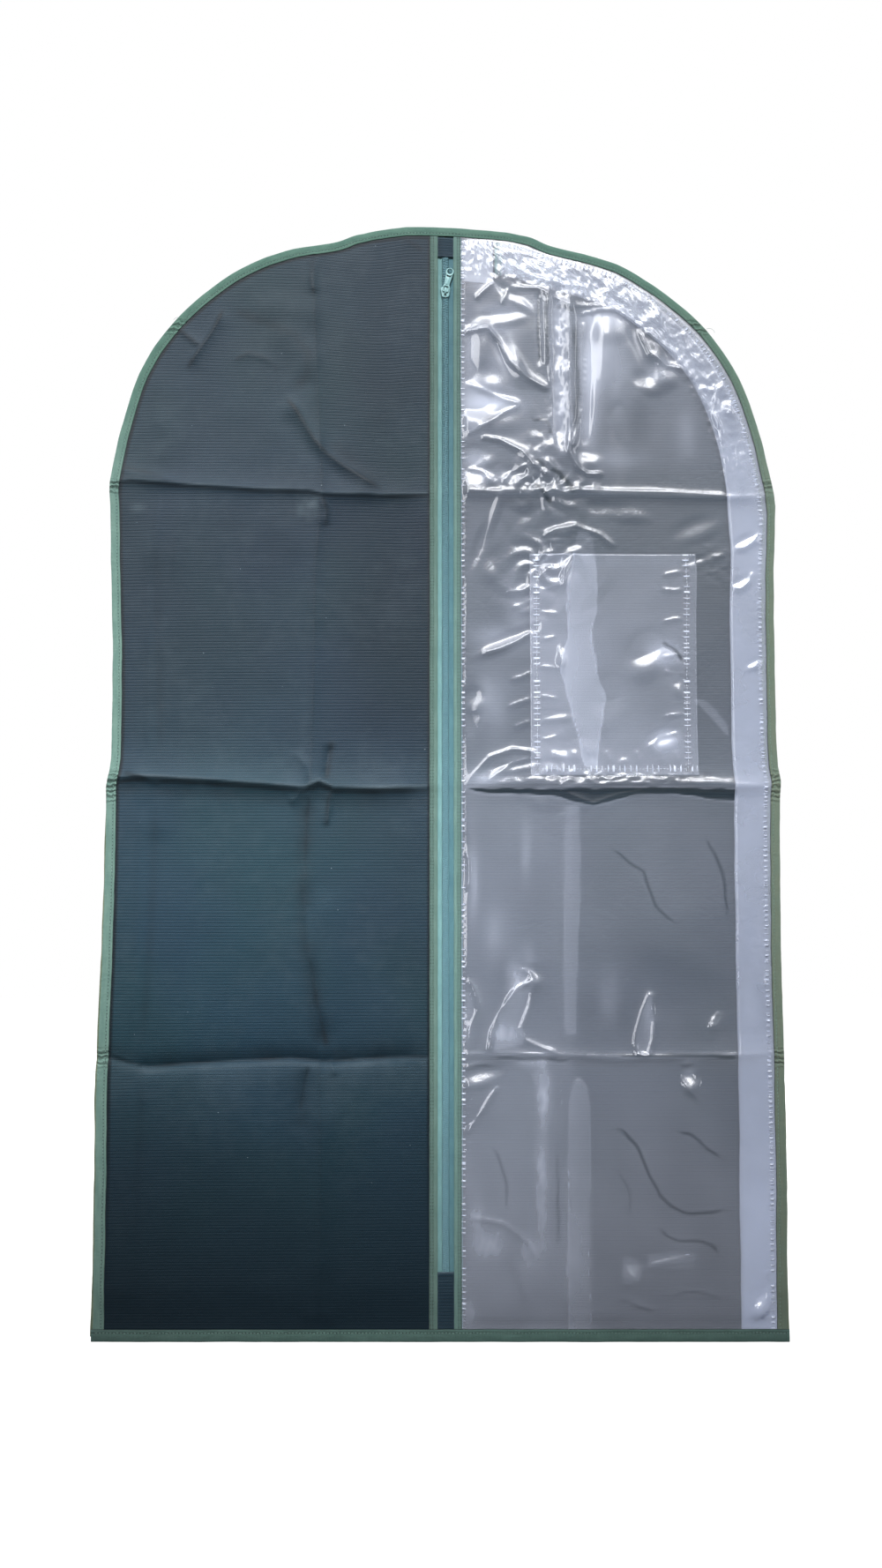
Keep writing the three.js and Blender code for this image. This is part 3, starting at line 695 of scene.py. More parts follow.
# dark contours: strength, half width, view points
CONTOUR = [
    (0.55, 1.5, [(692, 1280), (705, 1282), (722, 1300), (738, 1336), (748, 1356), (761, 1370),
                 (778, 1377), (797, 1377), (830, 1373)]),
    (0.50, 1.4, [(769, 1285), (780, 1286), (794, 1295), (804, 1306), (818, 1313)]),
    (0.50, 1.4, [(746, 1393), (757, 1403), (771, 1408), (797, 1408), (809, 1414), (818, 1426)]),
    (0.40, 1.3, [(700, 1477), (712, 1476), (724, 1482), (743, 1490)]),
    (0.40, 1.3, [(759, 1475), (775, 1468), (792, 1467), (806, 1470), (820, 1477)]),
    (0.55, 1.4, [(601, 470), (608, 476), (616, 474), (622, 480), (626, 490), (618, 488)]),
    (0.55, 1.3, [(609, 521), (615, 524), (618, 530), (621, 533)]),
    (0.60, 2.4, [(624, 530), (634, 536), (645, 548), (652, 560)]),
    (0.55, 1.8, [(604, 548), (616, 556), (626, 572)]),
    (0.50, 2.2, [(652, 362), (655, 400), (656, 440), (653, 490)]),
    (0.45, 1.3, [(612, 328), (611, 372), (613, 415)]),
    (0.45, 1.3, [(621, 328), (620, 372), (622, 415)]),
    (0.50, 1.6, [(631, 346), (640, 343), (652, 350)]),
    (0.45, 2.0, [(524, 894), (560, 896), (604, 896), (640, 902), (672, 911), (700, 902),
                 (760, 898), (836, 898)]),
    (0.38, 1.3, [(632, 1308), (633, 1360), (632, 1416)]),
    (0.35, 1.4, [(560, 1300), (575, 1340), (572, 1372)]),
    (0.35, 1.4, [(690, 960), (730, 990), (744, 1030), (770, 1050)]),
    (0.30, 1.4, [(700, 1330), (716, 1352), (712, 1380)]),
    (0.45, 1.6, [(750, 727), (764, 736), (776, 750)]),
    (0.35, 1.4, [(800, 950), (820, 990), (826, 1040)]),
]
# painted highlights: soft-edged pale places put into the slack film's haze, a few negative ones
# darker: pale share, across, down, reach x, reach z
PAINTED_HIGHLIGHTS = [
    (1.00, 670, 420, 9, 44), (0.60, 684, 396, 16, 40), (0.70, 684, 358, 20, 9),
    (0.30, 706, 420, 16, 40), (0.40, 668, 486, 8, 22), (0.80, 540, 442, 15, 13),
    (1.10, 556, 457, 24, 8), (0.55, 536, 478, 12, 14), (0.45, 534, 396, 8, 24),
    (0.40, 560, 420, 10, 22), (0.45, 545, 322, 14, 5), (0.35, 556, 370, 20, 6),
    (0.30, 574, 540, 16, 6), (0.25, 700, 520, 24, 10), (0.60, 540, 520, 11, 9),
    (0.70, 540, 540, 14, 6), (0.35, 576, 396, 9, 24), (0.70, 636, 372, 7, 26),
    (0.70, 637, 446, 7, 34), (0.50, 566, 350, 18, 7), (0.30, 600, 340, 14, 8),
    (0.60, 745, 424, 10, 6), (0.30, 760, 410, 16, 9), (-0.30, 608, 440, 10, 40),
    (-0.35, 722, 470, 14, 40), (0.25, 780, 490, 10, 24), (0.35, 588, 690, 12, 34),
    (0.40, 560, 722, 20, 10), (0.30, 556, 800, 14, 24), (0.50, 548, 884, 16, 7),
    (0.35, 752, 742, 12, 10), (0.45, 755, 842, 12, 9), (0.90, 584, 1108, 6, 18),
    (0.60, 598, 1090, 5, 14), (0.90, 572, 1172, 12, 7), (0.50, 537, 1000, 3.5, 36),
    (0.45, 596, 965, 4, 22), (0.60, 529, 1160, 4, 20), (1.10, 616, 1236, 5, 26),
    (0.60, 604, 1205, 12, 4), (0.80, 614, 1340, 5, 46), (0.50, 600, 1420, 9, 14),
    (0.70, 555, 1412, 14, 12), (0.50, 540, 1380, 6, 18), (0.50, 532, 1490, 5, 12),
    (0.50, 781, 1215, 5, 6), (0.35, 690, 1130, 9, 24), (0.40, 735, 1150, 4, 20),
    (-0.35, 590, 1490, 14, 18), (0.35, 560, 1060, 10, 24),
]
STREAKED_BELOW = 940  # painted highlights further down the view than this are streaky


def inside_polygon(x, z, points):
    inside = np.zeros(x.shape, bool)
    for (ax, az), (bx, bz) in zip(points, np.roll(points, -1, 0)):
        crossing = (bx - ax) * (z - az) / (bz - az + 1e-12) + ax
        inside ^= ((az > z) != (bz > z)) & (x < crossing)
    return inside


def cling_and_painted_highlight_map(x, z):
    """Change of the film's haze: positive where it looks paler, from clinging layers and from
    painted highlights, negative on dark contours.
    """
    wavy_x = x + 1.4 * noise(x / 16, z / 16, 301)
    wavy_z = z + 1.4 * noise(x / 16, z / 16, 302)
    out = 0.20 * fbm(x / 70 + 2, z / 90 - 4, 2, 303)
    out = out + 0.30 * smooth(face_point(656, 0)[0], face_point(628, 0)[0], x)
    out = out + 0.18 * smooth(520, 420, z) + 0.90 * smooth(330, 40, z)
    out = out + 0.30 * smooth(740, 860, z) - 0.24 * smooth(500, 560, z) * smooth(790, 740, z)
    for pale, points in CLING:
        patch = face_points(points)
        mask = box_mask(x, z, patch, 5)
        px, pz = wavy_x[mask], wavy_z[mask]
        distance, _, _ = line_distance(px, pz, patch, closed=True)
        depth = np.where(inside_polygon(px, pz, patch), distance, -distance)
        rim = np.exp(-((depth - 0.5 * np.sign(pale)) / 1.0) ** 2)
        out[mask] += 1.7 * pale * smooth(-0.5, 0.8, depth) + 0.9 * abs(pale) * rim
    # painted highlights go into the haze
    for pale, across, down, reach_x, reach_z in PAINTED_HIGHLIGHTS:
        spot = blob(wavy_x, wavy_z, across, down, reach_x, reach_z)
        if down > STREAKED_BELOW:  # the film is tighter here
            spot = spot * (0.34 + 0.42 * np.clip(crinkle(x, z, 9, 26, 331) + 0.35, 0, 1))
        out += (3.2 * pale if pale > 0 else 1.3 * pale) * spot
    for strength, half, points in CONTOUR:
        line = face_points(points)
        mask = box_mask(x, z, line, 8)
        distance, _, along = line_distance(wavy_x[mask], wavy_z[mask], line)
        pale_side = 0.5 * strength * np.exp(-((distance - 2.1 * half) / (0.8 * half)) ** 2)
        dark_core = 2.1 * strength * np.exp(-(distance / half) ** 2)
        out[mask] += end_fade(along, 0.12) * (pale_side - dark_core)
    return out


# ---------------------------------------------------------------------------
# mesh helpers
# ---------------------------------------------------------------------------
def signed_volume(verts, faces):
    total = 0.0
    for group in faces:
        first = verts[group[:, 0]]
        for k in range(2, group.shape[1]):
            second, third = verts[group[:, k - 1]], verts[group[:, k]]
            total += np.einsum("ij,ij->", first, np.cross(second, third))
    return total / 6


def face_outwards(verts, faces):
    if signed_volume(verts - verts.mean(0), faces) < 0:
        return [group[:, ::-1] for group in faces]
    return faces


def make(name, verts, faces, mat, flat_uv=None, seam_uv=None, attrs=None, warp=True):
    """Closed solids only. faces is a list of integer arrays, one per face size."""
    verts = np.asarray(verts, float).copy()
    if warp:
        verts[:, 0], verts[:, 2] = lay(verts[:, 0], verts[:, 2])
    faces = face_outwards(verts, [np.asarray(group, np.int64) for group in faces])
    mesh = bpy.data.meshes.new(name)
    face_count = sum(len(group) for group in faces)
    corners = np.concatenate([group.ravel() for group in faces])
    mesh.vertices.add(len(verts))
    mesh.vertices.foreach_set("co", (verts * MM).astype(np.float32).ravel())
    mesh.loops.add(len(corners))
    mesh.loops.foreach_set("vertex_index", corners.astype(np.int32))
    mesh.polygons.add(face_count)
    sizes = np.concatenate([np.full(len(group), group.shape[1]) for group in faces])
    starts = np.concatenate([[0], np.cumsum(sizes)[:-1]])
    mesh.polygons.foreach_set("loop_start", starts.astype(np.int32))
    mesh.polygons.foreach_set("use_smooth", np.ones(face_count, bool))
    mesh.update(calc_edges=True)
    for key, uv in (("flat", flat_uv), ("seam", seam_uv)):
        if uv is not None:
            layer = mesh.uv_layers.new(name=key)
            values = np.asarray(uv, float)[corners] * MM
            layer.data.foreach_set("uv", values.astype(np.float32).ravel())
    for key, values in (attrs or {}).items():
        attribute = mesh.attributes.new(key, "FLOAT", "POINT")
        attribute.data.foreach_set("value", np.asarray(values, np.float32))
    mesh.validate()
    obj = bpy.data.objects.new(name, mesh)
    bpy.context.scene.collection.objects.link(obj)
    mesh.materials.append(mat)
    return obj


def grid_faces(rows, columns, wrap_columns=False, wrap_rows=False):
    """Quads of a vertex grid, columns fastest."""
    j, i = np.meshgrid(np.arange(rows if wrap_rows else rows - 1),
                       np.arange(columns if wrap_columns else columns - 1), indexing="ij")
    i2, j2 = (i + 1) % columns, (j + 1) % rows
    quads = [j * columns + i, j * columns + i2, j2 * columns + i2, j2 * columns + i]
    return np.stack(quads, -1).reshape(-1, 4)


def slab(rows, columns):
    """Faces of a closed thin sheet: front grid then back grid."""
    count = rows * columns
    front = grid_faces(rows, columns)
    index = np.arange(count).reshape(rows, columns)
    rim = np.concatenate([index[0, :], index[1:, -1], index[-1, -2::-1], index[-2:0:-1, 0]])
    after = np.roll(rim, -1)
    side = np.stack([after, rim, rim + count, after + count], 1)
    return [front, front[:, ::-1] + count, side]


def band_faces(stations, around):
    """Skin of a carried thin closed profile, with strips across both of its ends."""
    a = np.arange(around // 2)
    strip = np.stack([a[:-1], a[1:], around - 1 - a[1:], around - 1 - a[:-1]], 1)
    last = (stations - 1) * around
    return [grid_faces(stations, around, wrap_columns=True), strip[:, ::-1], strip + last]


def tube(points, radius, sides, up=(0.0, 1.0, 0.0)):
    points = np.asarray(points, float)
    count = len(points)
    tangent = np.gradient(points, axis=0)
    tangent /= np.linalg.norm(tangent, axis=1)[:, None]
    across = np.cross(tangent, np.array(up))
    across /= np.linalg.norm(across, axis=1)[:, None]
    over = np.cross(across, tangent)
    angle = np.arange(sides) * TAU / sides
    ring = (np.cos(angle)[None, :, None] * across[:, None, :]
            + np.sin(angle)[None, :, None] * over[:, None, :])
    verts = (points[:, None, :] + radius * ring).reshape(-1, 3)
    cap = np.arange(sides)
    return verts, [grid_faces(count, sides, wrap_columns=True), np.array([cap[::-1]]),
                   np.array([(count - 1) * sides + cap])]


def merge(parts):
    verts, by_size, offset = [], {}, 0
    for part, faces in parts:
        for group in face_outwards(part, faces):
            by_size.setdefault(group.shape[1], []).append(group + offset)
        verts.append(part)
        offset += len(part)
    return np.vstack(verts), [np.vstack(groups) for groups in by_size.values()]


def finish(obj, node, replaces=None, weights=None):
    """Tell the frame what the piece rides on: a node; given weights for a pair, the piece is only
    baked in place and the weights are not used.
    """
    if weights is None:
        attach(obj, node)
    else:
        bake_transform(obj)
    if replaces:
        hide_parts(replaces)


FLAP_TURN = math.radians(40.0)
HINGE_X = 288.5


def flap_weight(x, z):
    """Share of the flap hinge's turn at each point: the sewn edge stays, the zip edge opens."""
    side = np.where(x < ZIP_X, -1.0, 1.0)
    sewn_x = side * np.minimum(inset_x(z, 13.0), 287.5)
    opening = smooth(80, 400, z) * smooth(975, 742, z)
    hinge_x = side * HINGE_X
    arm = np.where(np.abs(x - hinge_x) < 1.5, side * -1.5, x - hinge_x)
    share = np.clip((x - sewn_x) / arm, 0, 1.0)
    turn = np.arcsin(np.clip(share * np.sin(opening * FLAP_TURN), 0, 0.999))
    return turn / FLAP_TURN


# ---------------------------------------------------------------------------
# shader building
# ---------------------------------------------------------------------------
class Value:
    """An output socket that can be added, subtracted and multiplied."""

    def __init__(self, net, socket):
        self.net, self.socket = net, socket

    def __add__(self, other):
        return self.net.math("ADD", self, other)

    def __sub__(self, other):
        return self.net.math("SUBTRACT", self, other)

    def __mul__(self, other):
        return self.net.math("MULTIPLY", self, other)

    def __abs__(self):
        return self.net.math("ABSOLUTE", self)


class Net:
    """Short-hand for building node trees."""

    def __init__(self, tree, output="ShaderNodeOutputMaterial"):
        tree.nodes.clear()
        self.tree = tree
        self.place = -1800
        self.output = self.node(output)

    def node(self, kind, **properties):
        node = self.tree.nodes.new(kind)
        self.place += 18
        node.location = (self.place, (self.place * 7) % 900 - 450)
        for key, value in properties.items():
            setattr(node, key, value)
        return node

    def set(self, socket, value):
        if isinstance(value, Value):
            self.tree.links.new(value.socket, socket)
        elif socket.type == "RGBA" and len(value) == 3:
            socket.default_value = (*value, 1)
        else:
            socket.default_value = value

    def value(self, kind, inputs=None, out=0, **properties):
        node = self.node(kind, **properties)
        for key, value in (inputs or {}).items():
            self.set(node.inputs[key], value)
        return Value(self, node.outputs[out])

    def surface(self, shader):
        self.set(self.output.inputs[0], shader)

    def math(self, operation, *values, clamp=False):
        return self.value("ShaderNodeMath", dict(enumerate(values)), operation=operation,
                          use_clamp=clamp)

    def cos(self, value):
        return self.math("COSINE", value)

    def sin(self, value):
        return self.math("SINE", value)

    def step(self, value, start, end, low=0.0, high=1.0):
        """Smooth change from low to high while the value goes from start to end."""
        return self.value("ShaderNodeMapRange", {
            "Value": value, "From Min": start, "From Max": end, "To Min": low, "To Max": high,
        }, out="Result", interpolation_type="SMOOTHSTEP")

    def mix(self, factor, first, second):
        # a Mix node's colour sockets are inputs 6 and 7 and output 2
        return self.value("ShaderNodeMix", {0: factor, 6: first, 7: second}, out=2,
                          data_type="RGBA")

    def noise(self, vector, scale, detail=2.0, rough=0.5, out="Fac"):
        return self.value("ShaderNodeTexNoise", {
            "Vector": vector, "Scale": scale, "Detail": detail, "Roughness": rough}, out=out)

    def attribute(self, name):
        return self.value("ShaderNodeAttribute", out="Fac", attribute_name=name)

    def geometry(self, out):
        return self.value("ShaderNodeNewGeometry", out=out)

    def coordinate(self, out):
        return self.value("ShaderNodeTexCoord", out=out)

    def uv_mm(self, name):
        return self.scale(self.value("ShaderNodeUVMap", uv_map=name), (1000.0,) * 3)

    def object_mm(self):
        return self.scale(self.coordinate("Object"), (1000.0,) * 3)

    def xyz(self, vector):
        node = self.node("ShaderNodeSeparateXYZ")
        self.set(node.inputs[0], vector)
        return [Value(self, socket) for socket in node.outputs]

    def combine(self, x, y, z):
        return self.value("ShaderNodeCombineXYZ", {0: x, 1: y, 2: z})

    def scale(self, vector, factors):
        return self.value("ShaderNodeVectorMath", {0: vector, 1: factors}, operation="MULTIPLY")

    def bump(self, height, strength, distance, normal=None):
        inputs = {"Height": height, "Strength": strength, "Distance": distance}
        if normal is not None:
            inputs["Normal"] = normal
        return self.value("ShaderNodeBump", inputs)

    def bsdf(self, kind, **inputs):
        return self.value("ShaderNodeBsdf" + kind,
                          {key.replace("_", " "): value for key, value in inputs.items()})

    def mix_shader(self, factor, first, second):
        return self.value("ShaderNodeMixShader", {0: factor, 1: first, 2: second})


def material(name):
    mat = bpy.data.materials.new(name)
    mat.use_nodes = True
    return mat, Net(mat.node_tree)


def shade(colour, factor):
    return tuple(channel * factor for channel in colour)


# ---------------------------------------------------------------------------
# materials
# ---------------------------------------------------------------------------
def cloth_material(name, tint=(0.0088, 0.0255, 0.0400), specular=0.40, low_shade=0.55):
    """Navy spun-bond non-woven with embossed rows of dots.

    low_shade is painted shade: it darkens the cloth towards the hem, and the sheen is turned down
    there too; None leaves it even.
    """
    mat, net = material(name)
    uv = net.uv_mm("flat")
    x, z, _ = net.xyz(uv)
    big = net.noise(uv, 0.011, 3, 0.55)
    fibre = net.noise(net.scale(uv, (1.0, 0.35, 1.0)), 1.7, 3, 0.6)
    cross_fibre = net.noise(net.scale(uv, (0.3, 1.0, 1.0)), 1.3, 3, 0.6)
    # rows of embossed dots, 1.4 mm apart, every other row shifted
    row = net.math("FLOOR", net.math("DIVIDE", z, 1.4))
    shift = net.math("MODULO", row, 2.0) * 0.95
    across_rows = net.cos(z * (TAU / 1.4))
    along_rows = net.cos((x + shift) * (TAU / 1.9))
    dots = net.step(across_rows + along_rows * 0.8, 0.2, 1.5)
    lines = net.cos(z * (TAU / 2.8))
    relief = (dots * -0.8 + lines * -0.22) + (fibre + cross_fibre) * 0.5
    normal = net.bump(relief, 0.75, 0.00022)
    # broad, very soft unevenness that a spun-bond sheet shows when lit flat
    normal = net.bump(net.noise(uv, 0.035, 3, 0.5), 0.35, 0.0012, normal)
    # the dye drifts between a blue and a greener navy over a hand's width
    hue = net.step(net.noise(net.scale(uv, (1.0, 0.8, 1.0)), 0.0075, 2, 0.5), 0.36, 0.64)
    colour = net.mix(hue, (tint[0] * 1.02, tint[1] * 1.01, tint[2] * 1.06),
                     (tint[0] * 0.94, tint[1] * 1.08, tint[2] * 0.96))
    colour = net.mix(net.step(big, 0.3, 0.7) * 0.32, colour, shade(tint, 0.62))
    colour = net.mix(dots * 0.30, colour, shade(tint, 0.45))
    colour = net.mix(net.step(lines, -0.2, 1.0) * 0.46, colour, shade(tint, 0.40))
    colour = net.mix(net.step(fibre, 0.60, 0.80) * 0.16, colour, (0.10, 0.15, 0.18))
    # painted light and shade: the left half is painted paler between the lower creases and darker
    # beside the zip above them
    left = net.step(x, 2.0, -4.0)
    middle = ((net.step(z, 640.0, 400.0) * net.step(z, 120.0, 330.0))
              * (left * net.step(x, -10.0, -190.0)))
    colour = net.mix(middle, colour, net.scale(colour, (1.10, 1.34, 1.36)))
    upper = (net.step(z, 470.0, 540.0) * net.step(z, 800.0, 720.0)) * left
    colour = net.mix(upper, colour, net.scale(colour, (0.62, 0.72, 0.80)))
    # painted shade beside the zip
    painted_shade_by_zip = (net.step(x, -125.0, -50.0) * net.step(z, 470.0, 560.0)) * left
    colour = net.mix(painted_shade_by_zip, colour, net.scale(colour, (0.40, 0.64, 0.70)))
    # wear: slightly paler where the sheet was folded, and stray fibres
    wear = net.step(net.geometry("Pointiness"), 0.515, 0.56)
    colour = net.mix(wear * 0.35, colour, (0.055, 0.085, 0.105))
    worn = net.attribute("worn")
    colour = net.mix(worn * (fibre * 0.5 + 0.45), colour, (0.075, 0.105, 0.125))
    # painted shade where the cloth goes under the bindings and in its folds
    colour = net.mix(net.attribute("painted_crevice_shade"), colour, shade(tint, 0.22))
    cells = net.value("ShaderNodeTexVoronoi", {"Vector": uv, "Scale": 0.055}, out="Distance")
    colour = net.mix(net.step(cells, 0.020, 0.012) * 0.8, colour, (0.35, 0.42, 0.46))
    if low_shade is not None:
        # painted shade: darker towards the hem, where less light fell, with less sheen there
        colour = net.mix(net.step(z, 235.0, 20.0), colour, shade(tint, low_shade))
        specular = net.step(z, 40.0, 560.0) * (specular * 0.75) + specular * 0.25
    net.surface(net.bsdf(
        "Principled", Base_Color=colour, Roughness=fibre * 0.14 + 0.44, Normal=normal,
        Specular_IOR_Level=specular, Sheen_Weight=0.04, Sheen_Roughness=0.5,
        Sheen_Tint=(0.55, 0.72, 0.85, 1)))
    return mat


# heights and half widths of the places where the outline tapes are gathered
GATHERS = ((756.0, 9.0), (483.0, 20.0), (244.0, 12.0), (905.0, 10.0))


def tape_material(name, base, dark, stitch_rows=(), rib=0.62, rim=None, drift=None, gather=False):
    """Woven tape. The flat map's first axis runs along the tape, the second across it.

    rim is the tape's outer edge across, where a thin line of painted shadow runs; drift is (start,
    end, colour) along it.
    """
    mat, net = material(name)
    uv = net.uv_mm("flat")
    along, across, _ = net.xyz(uv)
    warp = net.sin(across * (TAU / rib))
    weft = net.sin(along * (TAU / 0.9) + warp * 0.6)
    big = net.noise(net.scale(uv, (1.0, 3.0, 1.0)), 0.05, 3, 0.55)
    fuzz = net.noise(uv, 2.2, 2, 0.6)
    normal = net.bump(warp * 0.5 + (weft * 0.35 + fuzz * 0.6), 0.6, 0.00018)
    wrinkle = net.noise(net.scale(uv, (1.0, 0.22, 1.0)), 0.16, 3, 0.6)
    normal = net.bump(wrinkle, 0.55, 0.0011, normal)
    colour = net.mix(net.step(big, 0.25, 0.75), dark, base)
    colour = net.mix(net.step(warp, 0.1, 1.0) * 0.22, colour, shade(dark, 0.62))
    colour = net.mix(net.step(fuzz, 0.55, 0.75) * 0.25, colour, shade(base, 1.45))
    for stitch in stitch_rows:
        # painted shade: the thread pulls the tape into a groove, with a dip at each hole, and the
        # shade in them is painted dark
        groove = net.step(abs(across - stitch), 0.95, 0.25)
        hole = net.step(net.cos(along * (TAU / 3.0)), 0.55, 1.0)
        colour = net.mix(groove * 0.55, colour, shade(dark, 0.38))
        colour = net.mix((groove * hole) * 0.6, colour, shade(dark, 0.12))
    if gather:
        # the tape is gathered at these heights
        z = net.xyz(net.coordinate("Object"))[2] * 1000.0 + fuzz * 0.8
        near = None
        for level, half in GATHERS:
            place = net.step(abs(z - level), half, half * 0.25)
            near = place if near is None else net.math("MAXIMUM", near, place)
        jitter = net.noise(net.scale(uv, (0.15, 0.15, 1.0)), 1.0, 2, 0.5) * 9.0
        pleat = net.cos(z * (TAU / 4.6) + jitter)
        shadow = net.step(pleat, 0.25, 0.95) * near
        normal = net.bump(pleat * near, 0.8, 0.0006, normal)
        colour = net.mix(shadow * 0.75, colour, shade(dark, 0.30))
        # round the arch the tape turns further over the edge, and its colour is darker there
        darker_round_arch = net.step(net.xyz(net.coordinate("Object"))[2] * 1000.0, 760.0, 860.0)
        colour = net.mix(darker_round_arch, colour, net.scale(colour, (0.66, 0.78, 0.72)))
    wear = net.step(net.geometry("Pointiness"), 0.52, 0.60)
    colour = net.mix(wear * 0.30, colour, shade(base, 1.5))
    if drift is not None:
        start, end, other = drift
        colour = net.mix(net.step(along, start, end) * (big * 0.5 + 0.45), colour, other)
    if rim is not None:
        # painted shadow: a dark line where the tape's edge turns under
        colour = net.mix(net.step(across, rim - 0.75, rim - 0.2) * 0.9, colour,
                         shade(dark, 0.10))
    net.surface(net.bsdf(
        "Principled", Base_Color=colour, Roughness=fuzz * 0.15 + 0.56, Normal=normal,
        Specular_IOR_Level=0.3, Sheen_Weight=0.1, Sheen_Roughness=0.45,
        Sheen_Tint=(0.8, 0.95, 0.92, 1)))
    return mat


FILM_TINT = (0.935, 0.95, 0.968)
HAZE_TINT = (0.72, 0.785, 0.965)
HAZE_MAP_SHARE = 1.0      # how strongly the haze map, painted highlights included, changes the haze
FILM_REFLECTION = 0.075  # share mirrored when seen straight on


def film_material(name, haze, crinkling=1.0):
    """Clear soft film: mostly see-through, a slight lavender haze, glossy, with fine crinkles."""
    mat, net = material(name)
    uv = net.uv_mm("flat")
    # crinkles: sharp ridged noise at two sizes, gathered in patches
    patch = net.step(net.noise(uv, 0.012, 2, 0.5), 0.42, 0.66)
    bend = net.scale(net.noise(uv, 0.05, 2, 0.5, out="Color"), (9.0, 9.0, 0.0))
    bent = net.value("ShaderNodeVectorMath", {0: uv, 1: bend}, operation="ADD")
    large = abs(net.noise(bent, 0.085, 1, 0.4) - 0.5)
    small = abs(net.noise(bent, 0.21, 1, 0.4) - 0.5)
    large_relief = net.math("SQRT", large + 0.0006) * (patch * 0.85 + 0.15)
    small_relief = net.math("SQRT", small + 0.0010) * patch
    normal = net.bump(large_relief, 0.09 * crinkling, 0.0018)
    normal = net.bump(small_relief, 0.09 * crinkling, 0.0008, normal)
    normal = net.bump(net.noise(uv, 0.7, 2, 0.5), 0.07, 0.00025, normal)
    # needle puckers along the seams
    along, away, _ = net.xyz(net.uv_mm("seam"))
    near = net.step(abs(away - 1.6), 2.3, 0.5)
    jitter = net.noise(net.combine(along, 0.0, 0.0), 0.23, 1, 0.5) * 5.0
    dot = net.step(net.cos((along + jitter) * (TAU / 5.0)), 0.45, 1.0)
    keep = net.step(net.noise(net.combine(along, 7.0, 0.0), 0.11, 2, 0.6), 0.40, 0.58)
    pucker = (near * dot) * keep
    normal = net.bump(pucker, 0.9, 0.0011, normal)
    # haze: paler where two layers are clinging and where highlights are painted in, darker on the
    # contours
    milkiness = (net.noise(uv, 0.02, 3, 0.55) * 0.5 + 0.75) * haze
    haze_shift = net.attribute("haze_shift") * HAZE_MAP_SHARE + 1.0
    milkiness = net.math("MAXIMUM", milkiness * haze_shift, 0.006) + pucker * 0.85
    facing = net.value("ShaderNodeLayerWeight", {"Blend": 0.5, "Normal": normal}, out="Facing")
    mirrored = net.math("MULTIPLY_ADD", net.math("POWER", facing, 4.0), 0.9, FILM_REFLECTION,
                        clamp=True)
    clear = net.bsdf("Transparent", Color=FILM_TINT)
    milk = net.bsdf("Diffuse", Color=HAZE_TINT, Normal=normal)
    roughness = net.noise(uv, 0.03, 2, 0.5) * 0.06 + 0.03
    gloss = net.bsdf("Anisotropic", Color=(1, 1, 1), Roughness=roughness, Normal=normal)
    body = net.mix_shader(milkiness, clear, milk)
    front = net.mix_shader(mirrored, body, gloss)
    # the sheet's far side passes light on untouched, so each sheet counts once
    untouched = net.bsdf("Transparent", Color=(1, 1, 1))
    net.surface(net.mix_shader(net.geometry("Backfacing"), front, untouched))
    return mat


def coil_material():
    mat, net = material("zip_coil_nylon")
    place = net.object_mm()
    patchy = net.noise(place, 0.35, 2, 0.5)
    net.surface(net.bsdf(
        "Principled", Base_Color=net.mix(patchy, (0.118, 0.262, 0.312), (0.185, 0.350, 0.395)),
        Roughness=patchy * 0.2 + 0.28, Specular_IOR_Level=0.5,
        Normal=net.bump(net.noise(place, 3.0, 2, 0.5), 0.3, 0.0001)))
    return mat


def enamel_material():
    """Teal paint, with painted shade on its slopes, and chipped to bare metal at some edges."""
    mat, net = material("slider_enamel_paint")
    place = net.object_mm()
    patchy = net.noise(place, 0.8, 3, 0.6)
    peel = net.noise(place, 2.4, 2, 0.5)
    edge = net.step(net.geometry("Pointiness"), 0.54, 0.66)
    chip = edge * net.step(net.noise(place, 1.6, 3, 0.6), 0.50, 0.62)
    colour = net.mix(patchy, (0.165, 0.345, 0.355), (0.235, 0.430, 0.440))
    # painted shade: the sloping side walls are painted dark
    slope = net.step(abs(net.xyz(net.coordinate("Normal"))[1]), 0.93, 0.70)
    colour = net.mix(slope * 0.85, colour, (0.020, 0.060, 0.068))
    colour = net.mix(edge * 0.25, colour, (0.42, 0.60, 0.60))
    colour = net.mix(chip, colour, (0.62, 0.60, 0.56))
    net.surface(net.bsdf(
        "Principled", Base_Color=colour, Metallic=chip * 0.9, Roughness=patchy * 0.15 + 0.34,
        Normal=net.bump(peel, 0.25, 0.0001), Coat_Weight=0.12, Coat_Roughness=0.15))
    return mat


def thread_material(name, dark, pale):
    mat, net = material(name)
    place = net.object_mm()
    diagonal = net.xyz(place)[0] + (net.xyz(place)[2] + net.xyz(place)[1])
    ply = net.sin(diagonal * (TAU / 0.45))
    colour = net.mix(net.noise(place, 0.25, 2, 0.5), dark, pale)
    colour = net.mix(net.step(ply, 0.0, 1.0) * 0.3, colour, shade(dark, 0.5))
    net.surface(net.bsdf("Principled", Base_Color=colour, Roughness=0.55,
                         Normal=net.bump(ply, 0.4, 0.0001), Sheen_Weight=0.2))
    return mat


